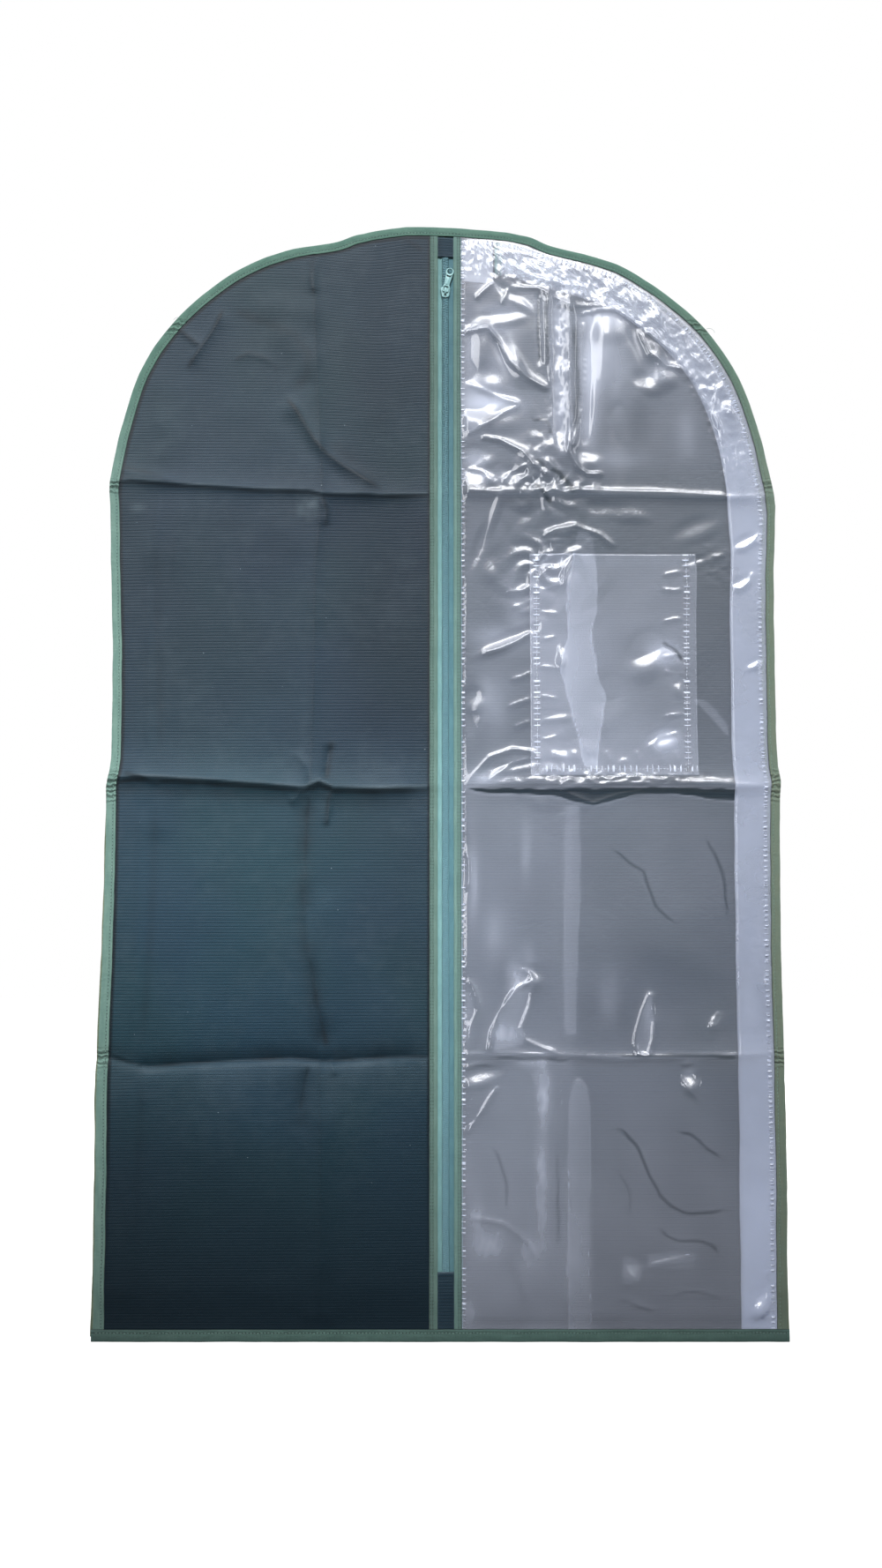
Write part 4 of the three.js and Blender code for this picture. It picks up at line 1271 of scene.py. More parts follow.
def label_material():
    mat, net = material("label_satin")
    uv = net.uv_mm("flat")
    x, z, _ = net.xyz(uv)
    rib = net.sin(z * (TAU / 0.5))
    streak = net.noise(net.scale(uv, (1.0, 0.2, 1.0)), 0.5, 3, 0.6)
    # a diagonal crease that has set
    fold = net.step(abs((x + z * 0.9) - 908.0), 2.4, 0.0)
    colour = net.mix(streak, (0.31, 0.33, 0.40), (0.40, 0.42, 0.48))
    # painted shade darkens the crease
    colour = net.mix(fold * 0.35, colour, (0.24, 0.27, 0.37))
    normal = net.bump(rib * 0.3 + streak, 0.35, 0.00015)
    normal = net.bump(fold, 0.4, 0.0006, normal)
    net.surface(net.bsdf(
        "Principled", Base_Color=colour, Roughness=streak * 0.15 + 0.36, Normal=normal,
        Specular_IOR_Level=0.5, Sheen_Weight=0.15))
    return mat


MAT = {
    "cloth": cloth_material("navy_spunbond"),
    "cloth_back": cloth_material("navy_spunbond_back", tint=(0.012, 0.026, 0.041)),
    "cloth_tab": cloth_material("navy_tab", tint=(0.0066, 0.0240, 0.0385), specular=0.24,
                                low_shade=None),
    "film": film_material("clear_film_window", haze=0.108),
    "film_gusset": film_material("clear_film_gusset", haze=0.165),
    "film_pocket": film_material("clear_film_pocket", haze=0.195, crinkling=0.55),
    "bind_front": tape_material(
        "binding_outline_front", base=(0.150, 0.255, 0.218), dark=(0.106, 0.198, 0.172),
        stitch_rows=(OUTLINE_STITCH,), rim=OUTLINE_TAPE,
        drift=(1300.0, 1750.0, (0.135, 0.155, 0.108)), gather=True),
    "bind_back": tape_material(
        "binding_outline_back", base=(0.150, 0.190, 0.122), dark=(0.104, 0.140, 0.090),
        stitch_rows=(OUTLINE_STITCH,), gather=True),
    # painted light and shade: the two zip bindings are one tape, painted a darker tone on the left
    # than on the right
    "bind_zip_left": tape_material(
        "binding_zip_left", base=(0.112, 0.186, 0.162), dark=(0.082, 0.148, 0.128),
        stitch_rows=ZIP_STITCHES, rim=ZIP_FOLD_W),
    "bind_zip_right": tape_material(
        "binding_zip_right", base=(0.128, 0.222, 0.200), dark=(0.096, 0.178, 0.160),
        stitch_rows=ZIP_STITCHES, rim=ZIP_FOLD_W),
    # painted shade: the hem tape is given a much darker colour than the outline tape, for the
    # dimmer light along the bottom
    "bind_hem": tape_material(
        "binding_hem", base=(0.057, 0.118, 0.102), dark=(0.038, 0.086, 0.074),
        stitch_rows=(HEM_STITCH,), rim=OUTLINE_TAPE),
    "bind_end": tape_material(
        "binding_gusset_end", base=(0.17, 0.31, 0.29), dark=(0.125, 0.25, 0.23),
        stitch_rows=(4.0,)),
    # painted light and shade: the two zip tapes are one tape, painted much darker on the right than
    # on the left
    "zip_tape_left": tape_material(
        "zip_tape_weave_left", base=(0.162, 0.312, 0.315), dark=(0.118, 0.242, 0.252), rib=0.8),
    "zip_tape_right": tape_material(
        "zip_tape_weave_right", base=(0.080, 0.184, 0.212), dark=(0.058, 0.142, 0.172), rib=0.8),
    "coil": coil_material(),
    "enamel": enamel_material(),
    "thread": thread_material("thread_teal", (0.12, 0.23, 0.20), (0.20, 0.34, 0.30)),
    "thread_dark": thread_material("thread_zip", (0.045, 0.10, 0.10), (0.08, 0.16, 0.155)),
    "thread_pale": thread_material("thread_pocket", (0.55, 0.60, 0.68), (0.75, 0.80, 0.88)),
    "label": label_material(),
}


# ---------------------------------------------------------------------------
# panels
# ---------------------------------------------------------------------------
CREASE_Z = (755.5, 485.0, 243.4)


def row_heights(bottom, top, fine, coarse, spots=(), reach=26.0):
    """Row heights, closer together near the given spots."""
    rows = [bottom]
    while rows[-1] < top:
        nearest = min([abs(rows[-1] - spot) for spot in spots] or [1e9])
        share = smooth(reach * 0.4, reach, nearest)
        rows.append(rows[-1] + fine + (coarse - fine) * float(share))
    rows = np.array(rows)
    return bottom + (rows - bottom) * (top - bottom) / (rows[-1] - bottom)


def sheet(name, mat, rows, left, right, shares, y_front, y_back, extra=None, seam=None,
          attrs=None):
    """Closed thin sheet. extra(x, z) is its own height on top of the shared folds."""
    left, right = np.broadcast_to(left, rows.shape), np.broadcast_to(right, rows.shape)
    x = left[:, None] + (right - left)[:, None] * shares[None, :]
    z = np.repeat(rows[:, None], len(shares), 1)
    relief = height(x, z)
    own = extra(x, z) if extra is not None else 0.0
    verts = np.vstack([np.stack([x, hem_squeeze(y, z) - relief - own, z], -1).reshape(-1, 3)
                       for y in (y_front, y_back)])
    seam_uv = None
    if seam is not None:
        seam_uv = np.tile(np.stack(seam(x, z), -1).reshape(-1, 2), (2, 1))
    attrs = {key: np.tile(field(x, z).ravel(), 2) for key, field in (attrs or {}).items()}
    obj = make(name, verts, slab(len(rows), len(shares)), mat, verts[:, [0, 2]], seam_uv, attrs)
    return obj, verts


def seam_window(x, z):
    """(along, away) of the nearest sewn edge: outline binding or zip binding."""
    distance, _, share = line_distance(x, z, OUTLINE[::3])
    from_zip = np.abs(x - ZIP_X) - ZIP_TAPE_OUTER
    from_outline = distance - OUTLINE_TAPE
    use_zip = from_zip < from_outline
    return np.where(use_zip, z, share * 2700.0), np.where(use_zip, from_zip, from_outline)


# paler lines along the creases: line, strength, shift down, half width
WORN_LINES = ((CREASE_1, 0.55, 0.0, 1.2), (CREASE_2, 0.70, 0.0, 1.8), (CREASE_3, 0.30, 4.5, 2.4))


def worn_map(x, z):
    """Paler, rubbed places of the cloth."""
    worn = 0.75 * blob(x, z, 352, 575, 12, 11) * (0.6 + 0.6 * noise(x / 7, z / 7, 311))
    worn = worn * smooth(-2, 3, face_point(368, 0)[0] - x)
    worn += blobs(x, z, [(0.5, 158, 578, 7, 4), (0.35, 395, 250, 20, 30)])
    bottom, upper, top = (face_point(0, down)[1] for down in (1290, 1212, 1204))
    worn += 0.14 * smooth(bottom, upper, z) * smooth(top, face_point(0, 1210)[1], z)
    for points, strength, down, half in WORN_LINES:
        distance, _, _ = line_distance(x, z, face_points(points) - [0.0, down])
        worn += strength * np.exp(-(distance / half) ** 2) * (0.6 + 0.7 * noise(x / 30, z / 9, 313))
    worn += 0.13 * fbm(x / 55, z / 75, 3, 319) + 0.10 * fbm(x / 13, z / 11, 2, 321)
    return np.clip(worn, 0, 0.9)


# painted shade along the sharp folds of the cloth: depth, half width, shift down, view points
PAINTED_SHADE_LINES = [
    (1.0, 1.9, 0.0, [(322, 449), (336, 466), (347, 484), (357, 501), (372, 517), (390, 530),
                     (412, 543), (436, 557)]),
    (0.80, 1.9, 0.0, [(255, 352), (250, 366), (240, 384), (231, 397), (222, 410), (214, 424)]),
    (0.75, 1.7, 0.0, [(203, 376), (216, 387), (230, 398)]),
    (0.80, 1.7, 0.0, [(356, 280), (355, 300), (354, 320), (357, 338)]),
    (0.75, 1.5, 2.4, CREASE_1),
    (0.90, 2.1, 4.2, CREASE_2),
    (0.40, 7.0, 11.0, CREASE_2),
    (0.85, 1.9, 0.0, CREASE_3),
    (0.30, 6.0, -6.0, CREASE_3),
    (0.40, 4.5, 0.0, [(262, 352), (284, 362), (312, 372), (335, 382), (350, 402), (350, 428),
                      (330, 446)]),
    (0.50, 1.9, 0.0, [(266, 412), (284, 402), (306, 410), (318, 424)]),
    (0.75, 2.6, 0.0, [(376, 838), (374, 860), (370, 886)]),
    (1.0, 2.6, 0.0, [(350, 897), (362, 893), (378, 896)]),
    (0.85, 2.2, 0.0, [(376, 894), (372, 910), (370, 940)]),
    (0.70, 2.6, 0.0, [(352, 896), (347, 930), (346, 1004)]),
    (0.45, 7.0, 0.0, [(350, 900), (346, 940), (344, 1040)]),
    (0.50, 7.5, 0.0, [(348, 1060), (354, 1110), (368, 1190)]),
    (0.35, 8.0, 0.0, [(376, 500), (404, 534), (430, 552)]),
    (0.30, 9.0, 0.0, [(346, 1206), (342, 1240), (340, 1280)]),
    (0.30, 5.0, 0.0, [(344, 1000), (342, 1040), (348, 1090)]),
    (0.80, 3.2, 0.0, [(350, 1076), (358, 1130), (372, 1194)]),
    (0.70, 2.4, 0.0, [(350, 1206), (345, 1230), (340, 1262)]),
    (0.80, 1.8, 0.0, [(366, 563), (371, 580), (370, 600)]),
    (0.70, 1.8, 0.0, [(480, 284), (468, 276), (456, 268)]),
    (0.70, 2.0, 0.0, [(136, 876), (160, 882), (184, 892)]),
    (0.60, 1.8, 0.0, [(118, 526), (150, 534), (190, 543)]),
    (0.60, 2.0, 0.0, [(326, 912), (336, 904), (346, 894)]),
    (0.60, 1.8, 0.0, [(126, 1192), (148, 1200), (166, 1208)]),
    (0.24, 1.6, 0.0, UPRIGHT_LEFT),
    (0.22, 4.0, 0.0, [(176, 905), (172, 1050), (164, 1190)]),
    (0.20, 4.0, 0.0, [(178, 600), (176, 740), (180, 870)]),
    (0.20, 4.0, 0.0, [(164, 1215), (158, 1350), (150, 1490)]),
]


def painted_crevice_shade_map(x, z):
    """Painted shade: darkness where the cloth goes under a binding and along its sharp folds."""
    from_tape = edge_distance(x, z) - OUTLINE_TAPE * by_bearing(WIDTH, x, z)
    at_outline = smooth(3.6, 1.4, from_tape)
    at_zip = smooth(3.0, 1.0, np.abs(x - ZIP_X) - ZIP_TAPE_OUTER)
    at_hem = smooth(3.0, 1.0, z - OUTLINE_TAPE)
    out = 0.95 * np.maximum(np.maximum(at_outline, at_zip), at_hem)
    for depth, half, down, points in PAINTED_SHADE_LINES:
        line = face_points(points) - [0.0, down]
        mask = box_mask(x, z, line, 4 * half + 4)
        distance, _, along = line_distance(x[mask], z[mask], line)
        strength = end_fade(along, 0.12) if len(points) < 10 else 1.0  # creases run right through
        strength = strength * (0.80 + 0.45 * noise(x[mask] / 21, z[mask] / 21, 317))
        dark = np.clip(depth * strength, 0, 1) * np.exp(-(distance / half) ** 2)
        out[mask] = np.maximum(out[mask], dark)
    return np.clip(out, 0, 1)


def front_left_cloth():
    rows = row_heights(*PANEL_Z, fine=1.5, coarse=2.0, spots=CREASE_Z)
    shares = np.concatenate([np.linspace(0, 0.06, 18)[:-1], np.linspace(0.06, 0.94, 152)[:-1],
                             np.linspace(0.94, 1, 16)])
    obj, verts = sheet("front_left_cloth", MAT["cloth"], rows, -panel_half(rows),
                       ZIP_X - ZIP_TAPE_REACH, shares, y_front=-3.05, y_back=-2.55,
                       attrs={"worn": worn_map, "painted_crevice_shade": painted_crevice_shade_map})
    finish(obj, ("front", "left_flap"), "front_left_panel",
           flap_weight(verts[:, 0], verts[:, 2]))


def window_film():
    rows = row_heights(*PANEL_Z, fine=1.6, coarse=1.85, spots=CREASE_Z + (980, 900, 860),
                       reach=60)
    obj, verts = sheet("window_film", MAT["film"], rows, ZIP_X + ZIP_TAPE_REACH,
                       panel_half(rows), np.linspace(0, 1, 168), y_front=-2.95, y_back=-2.65,
                       extra=film_crumple, seam=seam_window, attrs={"haze_shift": cling_and_painted_highlight_map})
    finish(obj, ("front", "right_flap"), "window_panel",
           flap_weight(verts[:, 0], verts[:, 2]))


def back_cloth():
    rows = row_heights(*PANEL_Z, fine=2.6, coarse=4.0, spots=CREASE_Z)
    obj, _ = sheet("back_cloth", MAT["cloth_back"], rows, -panel_half(rows), panel_half(rows),
                   np.linspace(0, 1, 170), y_front=5.65, y_back=6.15)
    finish(obj, "root", "back_panel")


front_left_cloth()
window_film()
back_cloth()


# ---------------------------------------------------------------------------
# swept bands
# ---------------------------------------------------------------------------
def side_drift(path, wobble, seed, wave=38.0):
    """How far a sewn band strays sideways along its path."""
    return wobble * fbm(arc_length(path) / wave, 3.7 + seed, 3, 200 + seed)


def sweep(name, mat, path, profile, wobble=0.0, seed=0, wave=38.0, out_shift=0.0, squeeze=None,
          hem=True, extra=None, across=None, width=None, seamed=False, attrs=None):
    """A closed profile (distance inwards, y) carried along a path of (x, z)."""
    normal = normals(path)
    stations, around = len(path), len(profile)
    length = arc_length(path)
    shift = side_drift(path, wobble, seed, wave) - out_shift
    wide = 1.0 if width is None else by_bearing(width, path[:, 0], path[:, 1])[:, None]
    inwards = profile[None, :, 0] * wide + shift[:, None]
    x = path[:, 0, None] + normal[:, 0, None] * inwards
    z = path[:, 1, None] + normal[:, 1, None] * inwards
    y = np.repeat(profile[None, :, 1], stations, 0)
    if squeeze is not None:
        y = squeeze(y, z)
    if hem:
        y = hem_squeeze(y, z)
    y = y - height(x, z)
    if extra is not None:
        y = y - extra(x, z, inwards)
    verts = np.stack([x, y, z], -1).reshape(-1, 3)
    along = np.repeat(length[:, None], around, 1)
    seam_uv = None
    if seamed:
        flat_uv = np.stack([x, z], -1).reshape(-1, 2)
        seam_uv = np.stack([along, inwards - OUTLINE_TAPE], -1).reshape(-1, 2)
    else:
        across = profile[:, 0] if across is None else across
        flat_uv = np.stack([along, np.repeat(across[None, :], stations, 0)], -1).reshape(-1, 2)
    attrs = {key: field(x, z).ravel() for key, field in (attrs or {}).items()}
    obj = make(name, verts, band_faces(stations, around), mat, flat_uv, seam_uv, attrs)
    return obj, verts


def folded(face, far, tuck=0.62, sign=1.0):
    """Profile of a tape folded round an edge, its visible face at y = face, the other at far.

    The first half is the outside, the second the inside, in reverse.
    """
    width = OUTLINE_TAPE
    middle = (face + far) / 2

    def near(offset):
        return face + sign * offset

    def rear(offset):
        return far - sign * offset

    outside = [
        (width, near(tuck)), (width - 0.25, near(0.30)), (width - 1.0, near(0.06)),
        (8.9, near(-0.04)), (8.2, near(0.10)), (7.6, near(0.22)), (7.0, near(0.10)),
        (6.0, near(-0.08)), (4.0, near(-0.15)), (2.0, near(-0.08)), (0.8, near(0.12)),
        (0.18, near(0.45)), (0.0, middle), (0.18, rear(0.45)), (0.8, rear(0.12)), (2.5, far),
        (6.0, far), (width - 1.0, rear(0.02)), (width, rear(0.15))]
    inside = [
        (width - 0.05, near(tuck + 0.16)), (width - 0.4, near(0.66)), (width - 1.0, near(0.52)),
        (8.9, near(0.46)), (8.2, near(0.52)), (7.6, near(0.58)), (7.0, near(0.52)),
        (6.0, near(0.45)), (4.0, near(0.42)), (2.2, near(0.45)), (1.3, near(0.52)),
        (0.85, near(0.62)), (0.7, middle), (0.85, rear(0.62)), (1.3, rear(0.52)),
        (2.6, rear(0.45)), (6.0, rear(0.42)), (width - 1.0, rear(0.40)),
        (width - 0.1, rear(0.36))]
    return np.array(outside + inside[::-1], float)


FRONT_FACE, FRONT_FAR = -3.75, -1.85  # y of the front bindings' two faces
# sideways wander of each binding, shared with its stitches
FRONT_DRIFT = {"wobble": 0.7, "seed": 1}
BACK_DRIFT = {"wobble": 0.8, "seed": 2}
HEM_DRIFT = {"wobble": 0.35, "seed": 3}

OUTLINE_LINE = outline_path(4.0, 2.4)
# runs towards -X, so that "inwards" points up
HEM_LINE = resample([[-HALF_W - 1.5, 0.0], [HALF_W + 1.5, 0.0]], 2.4)[::-1]
BACK_PEEK = by_bearing(PEEK, OUTLINE_LINE[:, 0], OUTLINE_LINE[:, 1])


def outline_bindings():
    obj, _ = sweep("binding_front_outline", MAT["bind_front"], OUTLINE_LINE,
                   folded(FRONT_FACE, FRONT_FAR), width=WIDTH, **FRONT_DRIFT)
    finish(obj, "front", "front_outline_binding")
    # the back one shows a little past the front one
    obj, _ = sweep("binding_back_outline", MAT["bind_back"], OUTLINE_LINE,
                   folded(6.85, 4.25, sign=-1.0), out_shift=BACK_PEEK, **BACK_DRIFT)
    finish(obj, "root", "back_outline_binding")


def hem_binding():
    """Folded round every layer at the bottom."""
    obj, _ = sweep("binding_hem", MAT["bind_hem"], HEM_LINE, folded(-1.35, 4.55, tuck=0.5),
                   hem=False, **HEM_DRIFT)
    finish(obj, "root", "bottom_binding")


def zip_fold():
    """Profile across the zip binding before scaling, from the zip-side fold outwards."""
    w, f, r = ZIP_FOLD_W, FRONT_FACE, FRONT_FAR
    outside = [
        (w, f + 0.62), (w - 0.2, f + 0.28), (w - 0.8, f + 0.06), (6.5, f + 0.20),
        (5.5, f - 0.05), (4.4, f + 0.18), (3.2, f - 0.06), (1.8, f - 0.10), (0.7, f + 0.10),
        (0.15, f + 0.45), (0.0, (f + r) / 2), (0.15, r - 0.45), (0.7, r - 0.12), (3.0, r),
        (w - 0.8, r), (w, r - 0.15)]
    inside = [
        (w - 0.05, f + 0.78), (w - 0.35, f + 0.64), (w - 0.9, f + 0.50), (6.5, f + 0.56),
        (5.5, f + 0.45), (4.4, f + 0.56), (3.2, f + 0.44), (1.9, f + 0.45), (1.1, f + 0.54),
        (0.75, f + 0.62), (0.62, (f + r) / 2), (0.75, r - 0.6), (1.2, r - 0.46),
        (3.0, r - 0.42), (w - 0.8, r - 0.40), (w - 0.1, r - 0.36)]
    return np.array(outside + inside[::-1], float)


def tuck_top(y, z):
    """Thin the zip bindings where they slip under the outline binding at the top."""
    return -2.78 + (y + 2.78) * (1 - 0.55 * smooth(983.0, 989.5, z))


def upright(x, bottom, top, count, side):
    """A line beside the zip, directed so that "inwards" points away from the zip."""
    path = np.stack([np.full(count, x), np.linspace(bottom, top, count)], 1)
    return path[::-1] if side < 0 else path


# woven zip tape: distance from the zip's middle, y
ZIP_TAPE = np.array([
    (15.2, -1.55), (12.0, -1.58), (7.0, -1.60), (5.0, -1.66), (3.2, -1.70), (2.0, -1.66),
    (0.75, -1.60), (0.75, -1.20), (2.0, -1.24), (3.2, -1.28), (5.0, -1.26), (7.0, -1.22),
    (12.0, -1.18), (15.2, -1.15)])


def zip_bands(side):
    word = WORDS[side]
    ride = ("front", word + "_flap")
    fold, width = ZIP_EDGE[side]
    profile = zip_fold()
    obj, verts = sweep("binding_zip_" + word, MAT["bind_zip_" + word],
                       upright(ZIP_X + side * fold, 3.5, 995.0, 430, side),
                       profile * [width / ZIP_FOLD_W, 1.0], across=profile[:, 0], wobble=0.28,
                       seed=5 + side, squeeze=tuck_top)
    finish(obj, ride, "zip_binding_" + word,
           flap_weight(verts[:, 0], verts[:, 2]))
    obj, verts = sweep("zip_tape_woven_" + word, MAT["zip_tape_" + word],
                       upright(ZIP_X, 3.5, 995.0, 430, side), ZIP_TAPE)
    finish(obj, ride, "zip_tape_" + word, flap_weight(verts[:, 0], verts[:, 2]))


COIL_PITCH, COIL_WIRE = 1.3, 0.40
COIL_Z = (56.0, 974.0)
COIL_STEPS, COIL_SIDES = 9, 5  # per turn, round the wire


def zip_coil(side):
    """One of two interlocking nylon spirals, each loop flattened."""
    word = WORDS[side]
    count = int((COIL_Z[1] - COIL_Z[0]) / COIL_PITCH * COIL_STEPS)
    turns = np.arange(count) / COIL_STEPS
    angle = turns * TAU + (math.pi if side > 0 else 0.0)
    z = COIL_Z[0] + turns * COIL_PITCH
    centre = np.stack([ZIP_X + side * 1.18 + side * 1.45 * np.cos(angle),
                       -2.48 + 0.52 * np.sin(angle), z + 0.12 * np.sin(2 * angle)], 1)
    verts, faces = tube(centre, COIL_WIRE, COIL_SIDES, up=(0.0, 0.0, 1.0))
    verts[:, 1] -= np.repeat(height(ZIP_X, z), COIL_SIDES)
    obj = make("zip_coil_spiral_" + word, verts, faces, MAT["coil"])
    finish(obj, ("front", word + "_flap"), "zip_coil_" + word,
           flap_weight(ZIP_X + side * 1.2, np.repeat(centre[:, 2], COIL_SIDES)))


outline_bindings()
hem_binding()
for side in (-1, 1):
    zip_bands(side)
for side in (-1, 1):
    zip_coil(side)


# ---------------------------------------------------------------------------
# gussets: V-folded strips, and the bindings on their raw ends
# ---------------------------------------------------------------------------
# centre line: front leaf in, round the fold, back leaf out; distance inwards, y
GUSSET_LINE = np.array([
    (2.5, -1.22), (7, -1.22), (12, -1.20), (16, -1.12), (20, -1.0), (24, -0.82), (28, -0.6),
    (32, -0.30), (35, 0.02), (37.2, 0.34), (38.8, 0.80), (39.8, 1.35), (40.1, 1.95),
    (39.8, 2.55), (38.8, 3.08), (37.2, 3.48), (35, 3.78), (32, 4.08), (28, 4.36), (24, 4.58),
    (20, 4.74), (16, 4.86), (12, 4.94), (7, 4.97), (2.5, 4.97)], float)


def cloth_gusset_extra(x, z, inwards):
    return np.maximum(0.25 * fbm(x / 40, z / 40, 2, 91), -0.2) * smooth(8, 20, inwards)


def film_gusset_extra(x, z, inwards):
    """Follows the window film a little behind it, fading out over the back leaf."""
    leaf = smooth(4.6, 0.6, np.concatenate([GUSSET_LINE[:, 1], GUSSET_LINE[::-1, 1]]))
    return film_crumple(x, z) * 0.86 * leaf[None, :]


def gusset_cling(x, z):
    return (0.85 + 2.2 * smooth(300, 60, z) - 0.80 * smooth(770, 900, z)
            + 0.16 * fbm(x / 40, z / 60, 2, 305))


def gusset(name, side, mat, thickness, step, wobble, extra, attrs=None):
    path = outline_path(3.0, 1.5)
    path = resample(path[side * path[:, 0] > 50.0], step)
    offset = normals(GUSSET_LINE) * thickness / 2
    profile = np.vstack([GUSSET_LINE + offset, (GUSSET_LINE - offset)[::-1]])
    length = arc_length(GUSSET_LINE)
    share = 1 - length / length[-1]  # 1 at the front edge, 0 at the back edge
    obj, _ = sweep(name, mat, path, profile, wobble=wobble, seed=9 + side, wave=60.0,
                   extra=extra, seamed=True, attrs=attrs)
    finish(obj, ("root", "front"), "gusset_" + WORDS[side],
           np.tile(np.concatenate([share, share[::-1]]), len(path)))


# centre line of the end binding: z, y
END_LINE = np.array([
    (996.0, -1.15), (990, -1.15), (984, -1.10), (978, -0.95), (972, -0.66), (967, -0.2),
    (963, 0.5), (960.4, 1.3), (959.8, 1.95), (960.4, 2.6), (963, 3.4), (967, 4.05),
    (972, 4.48), (978, 4.74), (984, 4.88), (990, 4.94), (996, 4.95)], float)
END_X = (48.2, 54.6)


def end_binding(side):
    """Tape on a gusset's raw end, beside the hanger opening."""
    normal = -normals(END_LINE)
    inner, outer = END_X
    shares = np.linspace(0, 1, 9)
    # thickness rounds off towards both edges; the crease sits at the gusset's raw edge
    half = [0.62 * (1 - (2 * share - 1) ** 6 * 0.75)
            - 0.13 * math.exp(-((share - 0.32) / 0.09) ** 2) for share in shares]
    section = [(inner + (outer - inner) * share, k) for share, k in zip(shares, half)]
    section += [(x, -k) for x, k in section[::-1]]
    rings = [np.stack([np.full(len(END_LINE), x), END_LINE[:, 1] + normal[:, 1] * k,
                       END_LINE[:, 0] + normal[:, 0] * k], 1) for x, k in section]
    stations, around = len(END_LINE), len(rings)
    verts = np.transpose(np.array(rings), (1, 0, 2)).reshape(-1, 3)
    verts[:, 0] += 0.35 * noise(verts[:, 2] / 9.0, side, 77)
    verts[:, 0] *= side
    verts[:, 1] -= height(verts[:, 0], verts[:, 2])
    length = arc_length(END_LINE)
    across = np.concatenate([shares, shares[::-1]]) * (outer - inner)
    flat_uv = np.stack([np.repeat(length, around), np.tile(across, stations)], 1)
    obj = make("binding_gusset_end_" + WORDS[side], verts, band_faces(stations, around),
               MAT["bind_end"], flat_uv)
    finish(obj, ("root", "front"), "gusset_end_binding_" + WORDS[side],
           np.repeat(1 - length / length[-1], around))


gusset("gusset_film_right", 1, MAT["film_gusset"], thickness=0.3, step=2.6,
       wobble=1.0, extra=film_gusset_extra, attrs={"haze_shift": gusset_cling})
gusset("gusset_cloth_left", -1, MAT["cloth"], thickness=0.4, step=4.0, wobble=0.5,
       extra=cloth_gusset_extra)
end_binding(-1)
end_binding(1)


# ---------------------------------------------------------------------------
# pocket, tabs, label
# ---------------------------------------------------------------------------
POCKET_X = (78.5, 228.5)
POCKET_Z = (492.0, 693.5)
POCKET_SEAM_X = (84.5, 219.5)
POCKET_SEAM_Z = 498.0

# across, down, reach x, reach z, turn, gain
POCKET_GLOWS = [
    (733, 745, 12, 16, 30, 1.0), (753, 840, 13, 7, -20, 1.0), (706, 862, 4, 8, 0, 1.0),
    (626, 813, 14, 4, 0, 1.0), (636, 738, 4, 14, 0, 0.9), (616, 642, 8, 8, 30, 1.0),
    (645, 640, 4, 14, 14, 1.0), (690, 800, 12, 18, 10, 0.35), (668, 866, 6, 6, 0, 0.8),
    (612, 700, 5, 12, 0, 0.6), (770, 776, 5, 10, -20, 0.9), (640, 852, 10, 6, 20, 0.7)]
# rise, reach, end fade, view points
POCKET_FOLDS = [
    # short folds from the right seam, the left seam and the bottom seam
    *[(0.9, 2.4, 0.2, [(across - 26, down + drop), (across - 12, down + 1), (across + 4, down)])
      for across, down, drop in ((776, 649, 4), (774, 670, -2), (775, 702, 5), (776, 742, 5),
                                 (777, 764, -3), (777, 810, 4))],
    *[(0.9, 2.4, 0.2, [(across - 3, down), (across + 10, down + 1), (across + 24, down + drop)])
      for across, down, drop in ((609, 668, -3), (610, 694, 3), (609, 724, -2), (610, 756, 3),
                                 (610, 790, 4), (609, 838, -3))],
    *[(0.8, 2.4, 0.2, [(across, 873), (across + 2, 862), (across - 1, 850)])
      for across in (628, 652, 668, 688, 704, 722, 748, 766)],
    (1.6, 2.6, 0.12, [(636, 659), (644, 640), (654, 623)]),
    (1.3, 2.4, 0.1, [(606, 628), (620, 632), (640, 628), (656, 622)]),
    (1.3, 2.6, 0.12, [(606, 668), (614, 652), (628, 640)]),
    (1.3, 2.2, 0.12, [(636, 716), (634, 736), (640, 758)]),
    (-1.2, 3.0, 0.12, [(750, 727), (764, 738), (776, 750)]),
    (1.2, 2.8, 0.12, [(735, 849), (748, 836), (771, 831)]),
]


def pocket_shares(x, z):
    return ((x - POCKET_X[0]) / (POCKET_X[1] - POCKET_X[0]),
            (z - POCKET_Z[0]) / (POCKET_Z[1] - POCKET_Z[0]))


def pocket_extra(x, z):
    u, v = pocket_shares(x, z)
    sewn = smooth(0, 0.05, u - 0.035) * smooth(0, 0.05, 0.935 - u) * smooth(0, 0.05, v - 0.03)
    own = 0.9 * (0.6 + 0.4 * fbm(x / 60, z / 80, 2, 61)) * (0.55 + 0.9 * v ** 3)
    own = own + glows(x, z, CEILING_BOX, POCKET_GLOWS) + ridges(x, z, POCKET_FOLDS)
    own = np.maximum(own, 0) * sewn
    pit = 0.5 + 0.5 * np.cos(TAU * z / 6.2)
    seams = sum(np.exp(-((x - seam) / 2.2) ** 2) for seam in POCKET_SEAM_X)
    return film_crumple(x, z) + own + 0.35 * pit * seams * smooth(0.03, 0.06, v)


def pocket_seam(x, z):
    from_side = np.minimum(np.abs(x - POCKET_SEAM_X[0]), np.abs(x - POCKET_SEAM_X[1]))
    from_bottom = np.abs(z - POCKET_SEAM_Z)
    return np.where(from_side < from_bottom, z, x), np.minimum(from_side, from_bottom) + 0.4


def pocket_weight(x, z):
    u, v = pocket_shares(x, z)
    return smooth(0.03, 0.30, u) * smooth(0.03, 0.30, 1 - u) * smooth(0.0, 0.85, v)


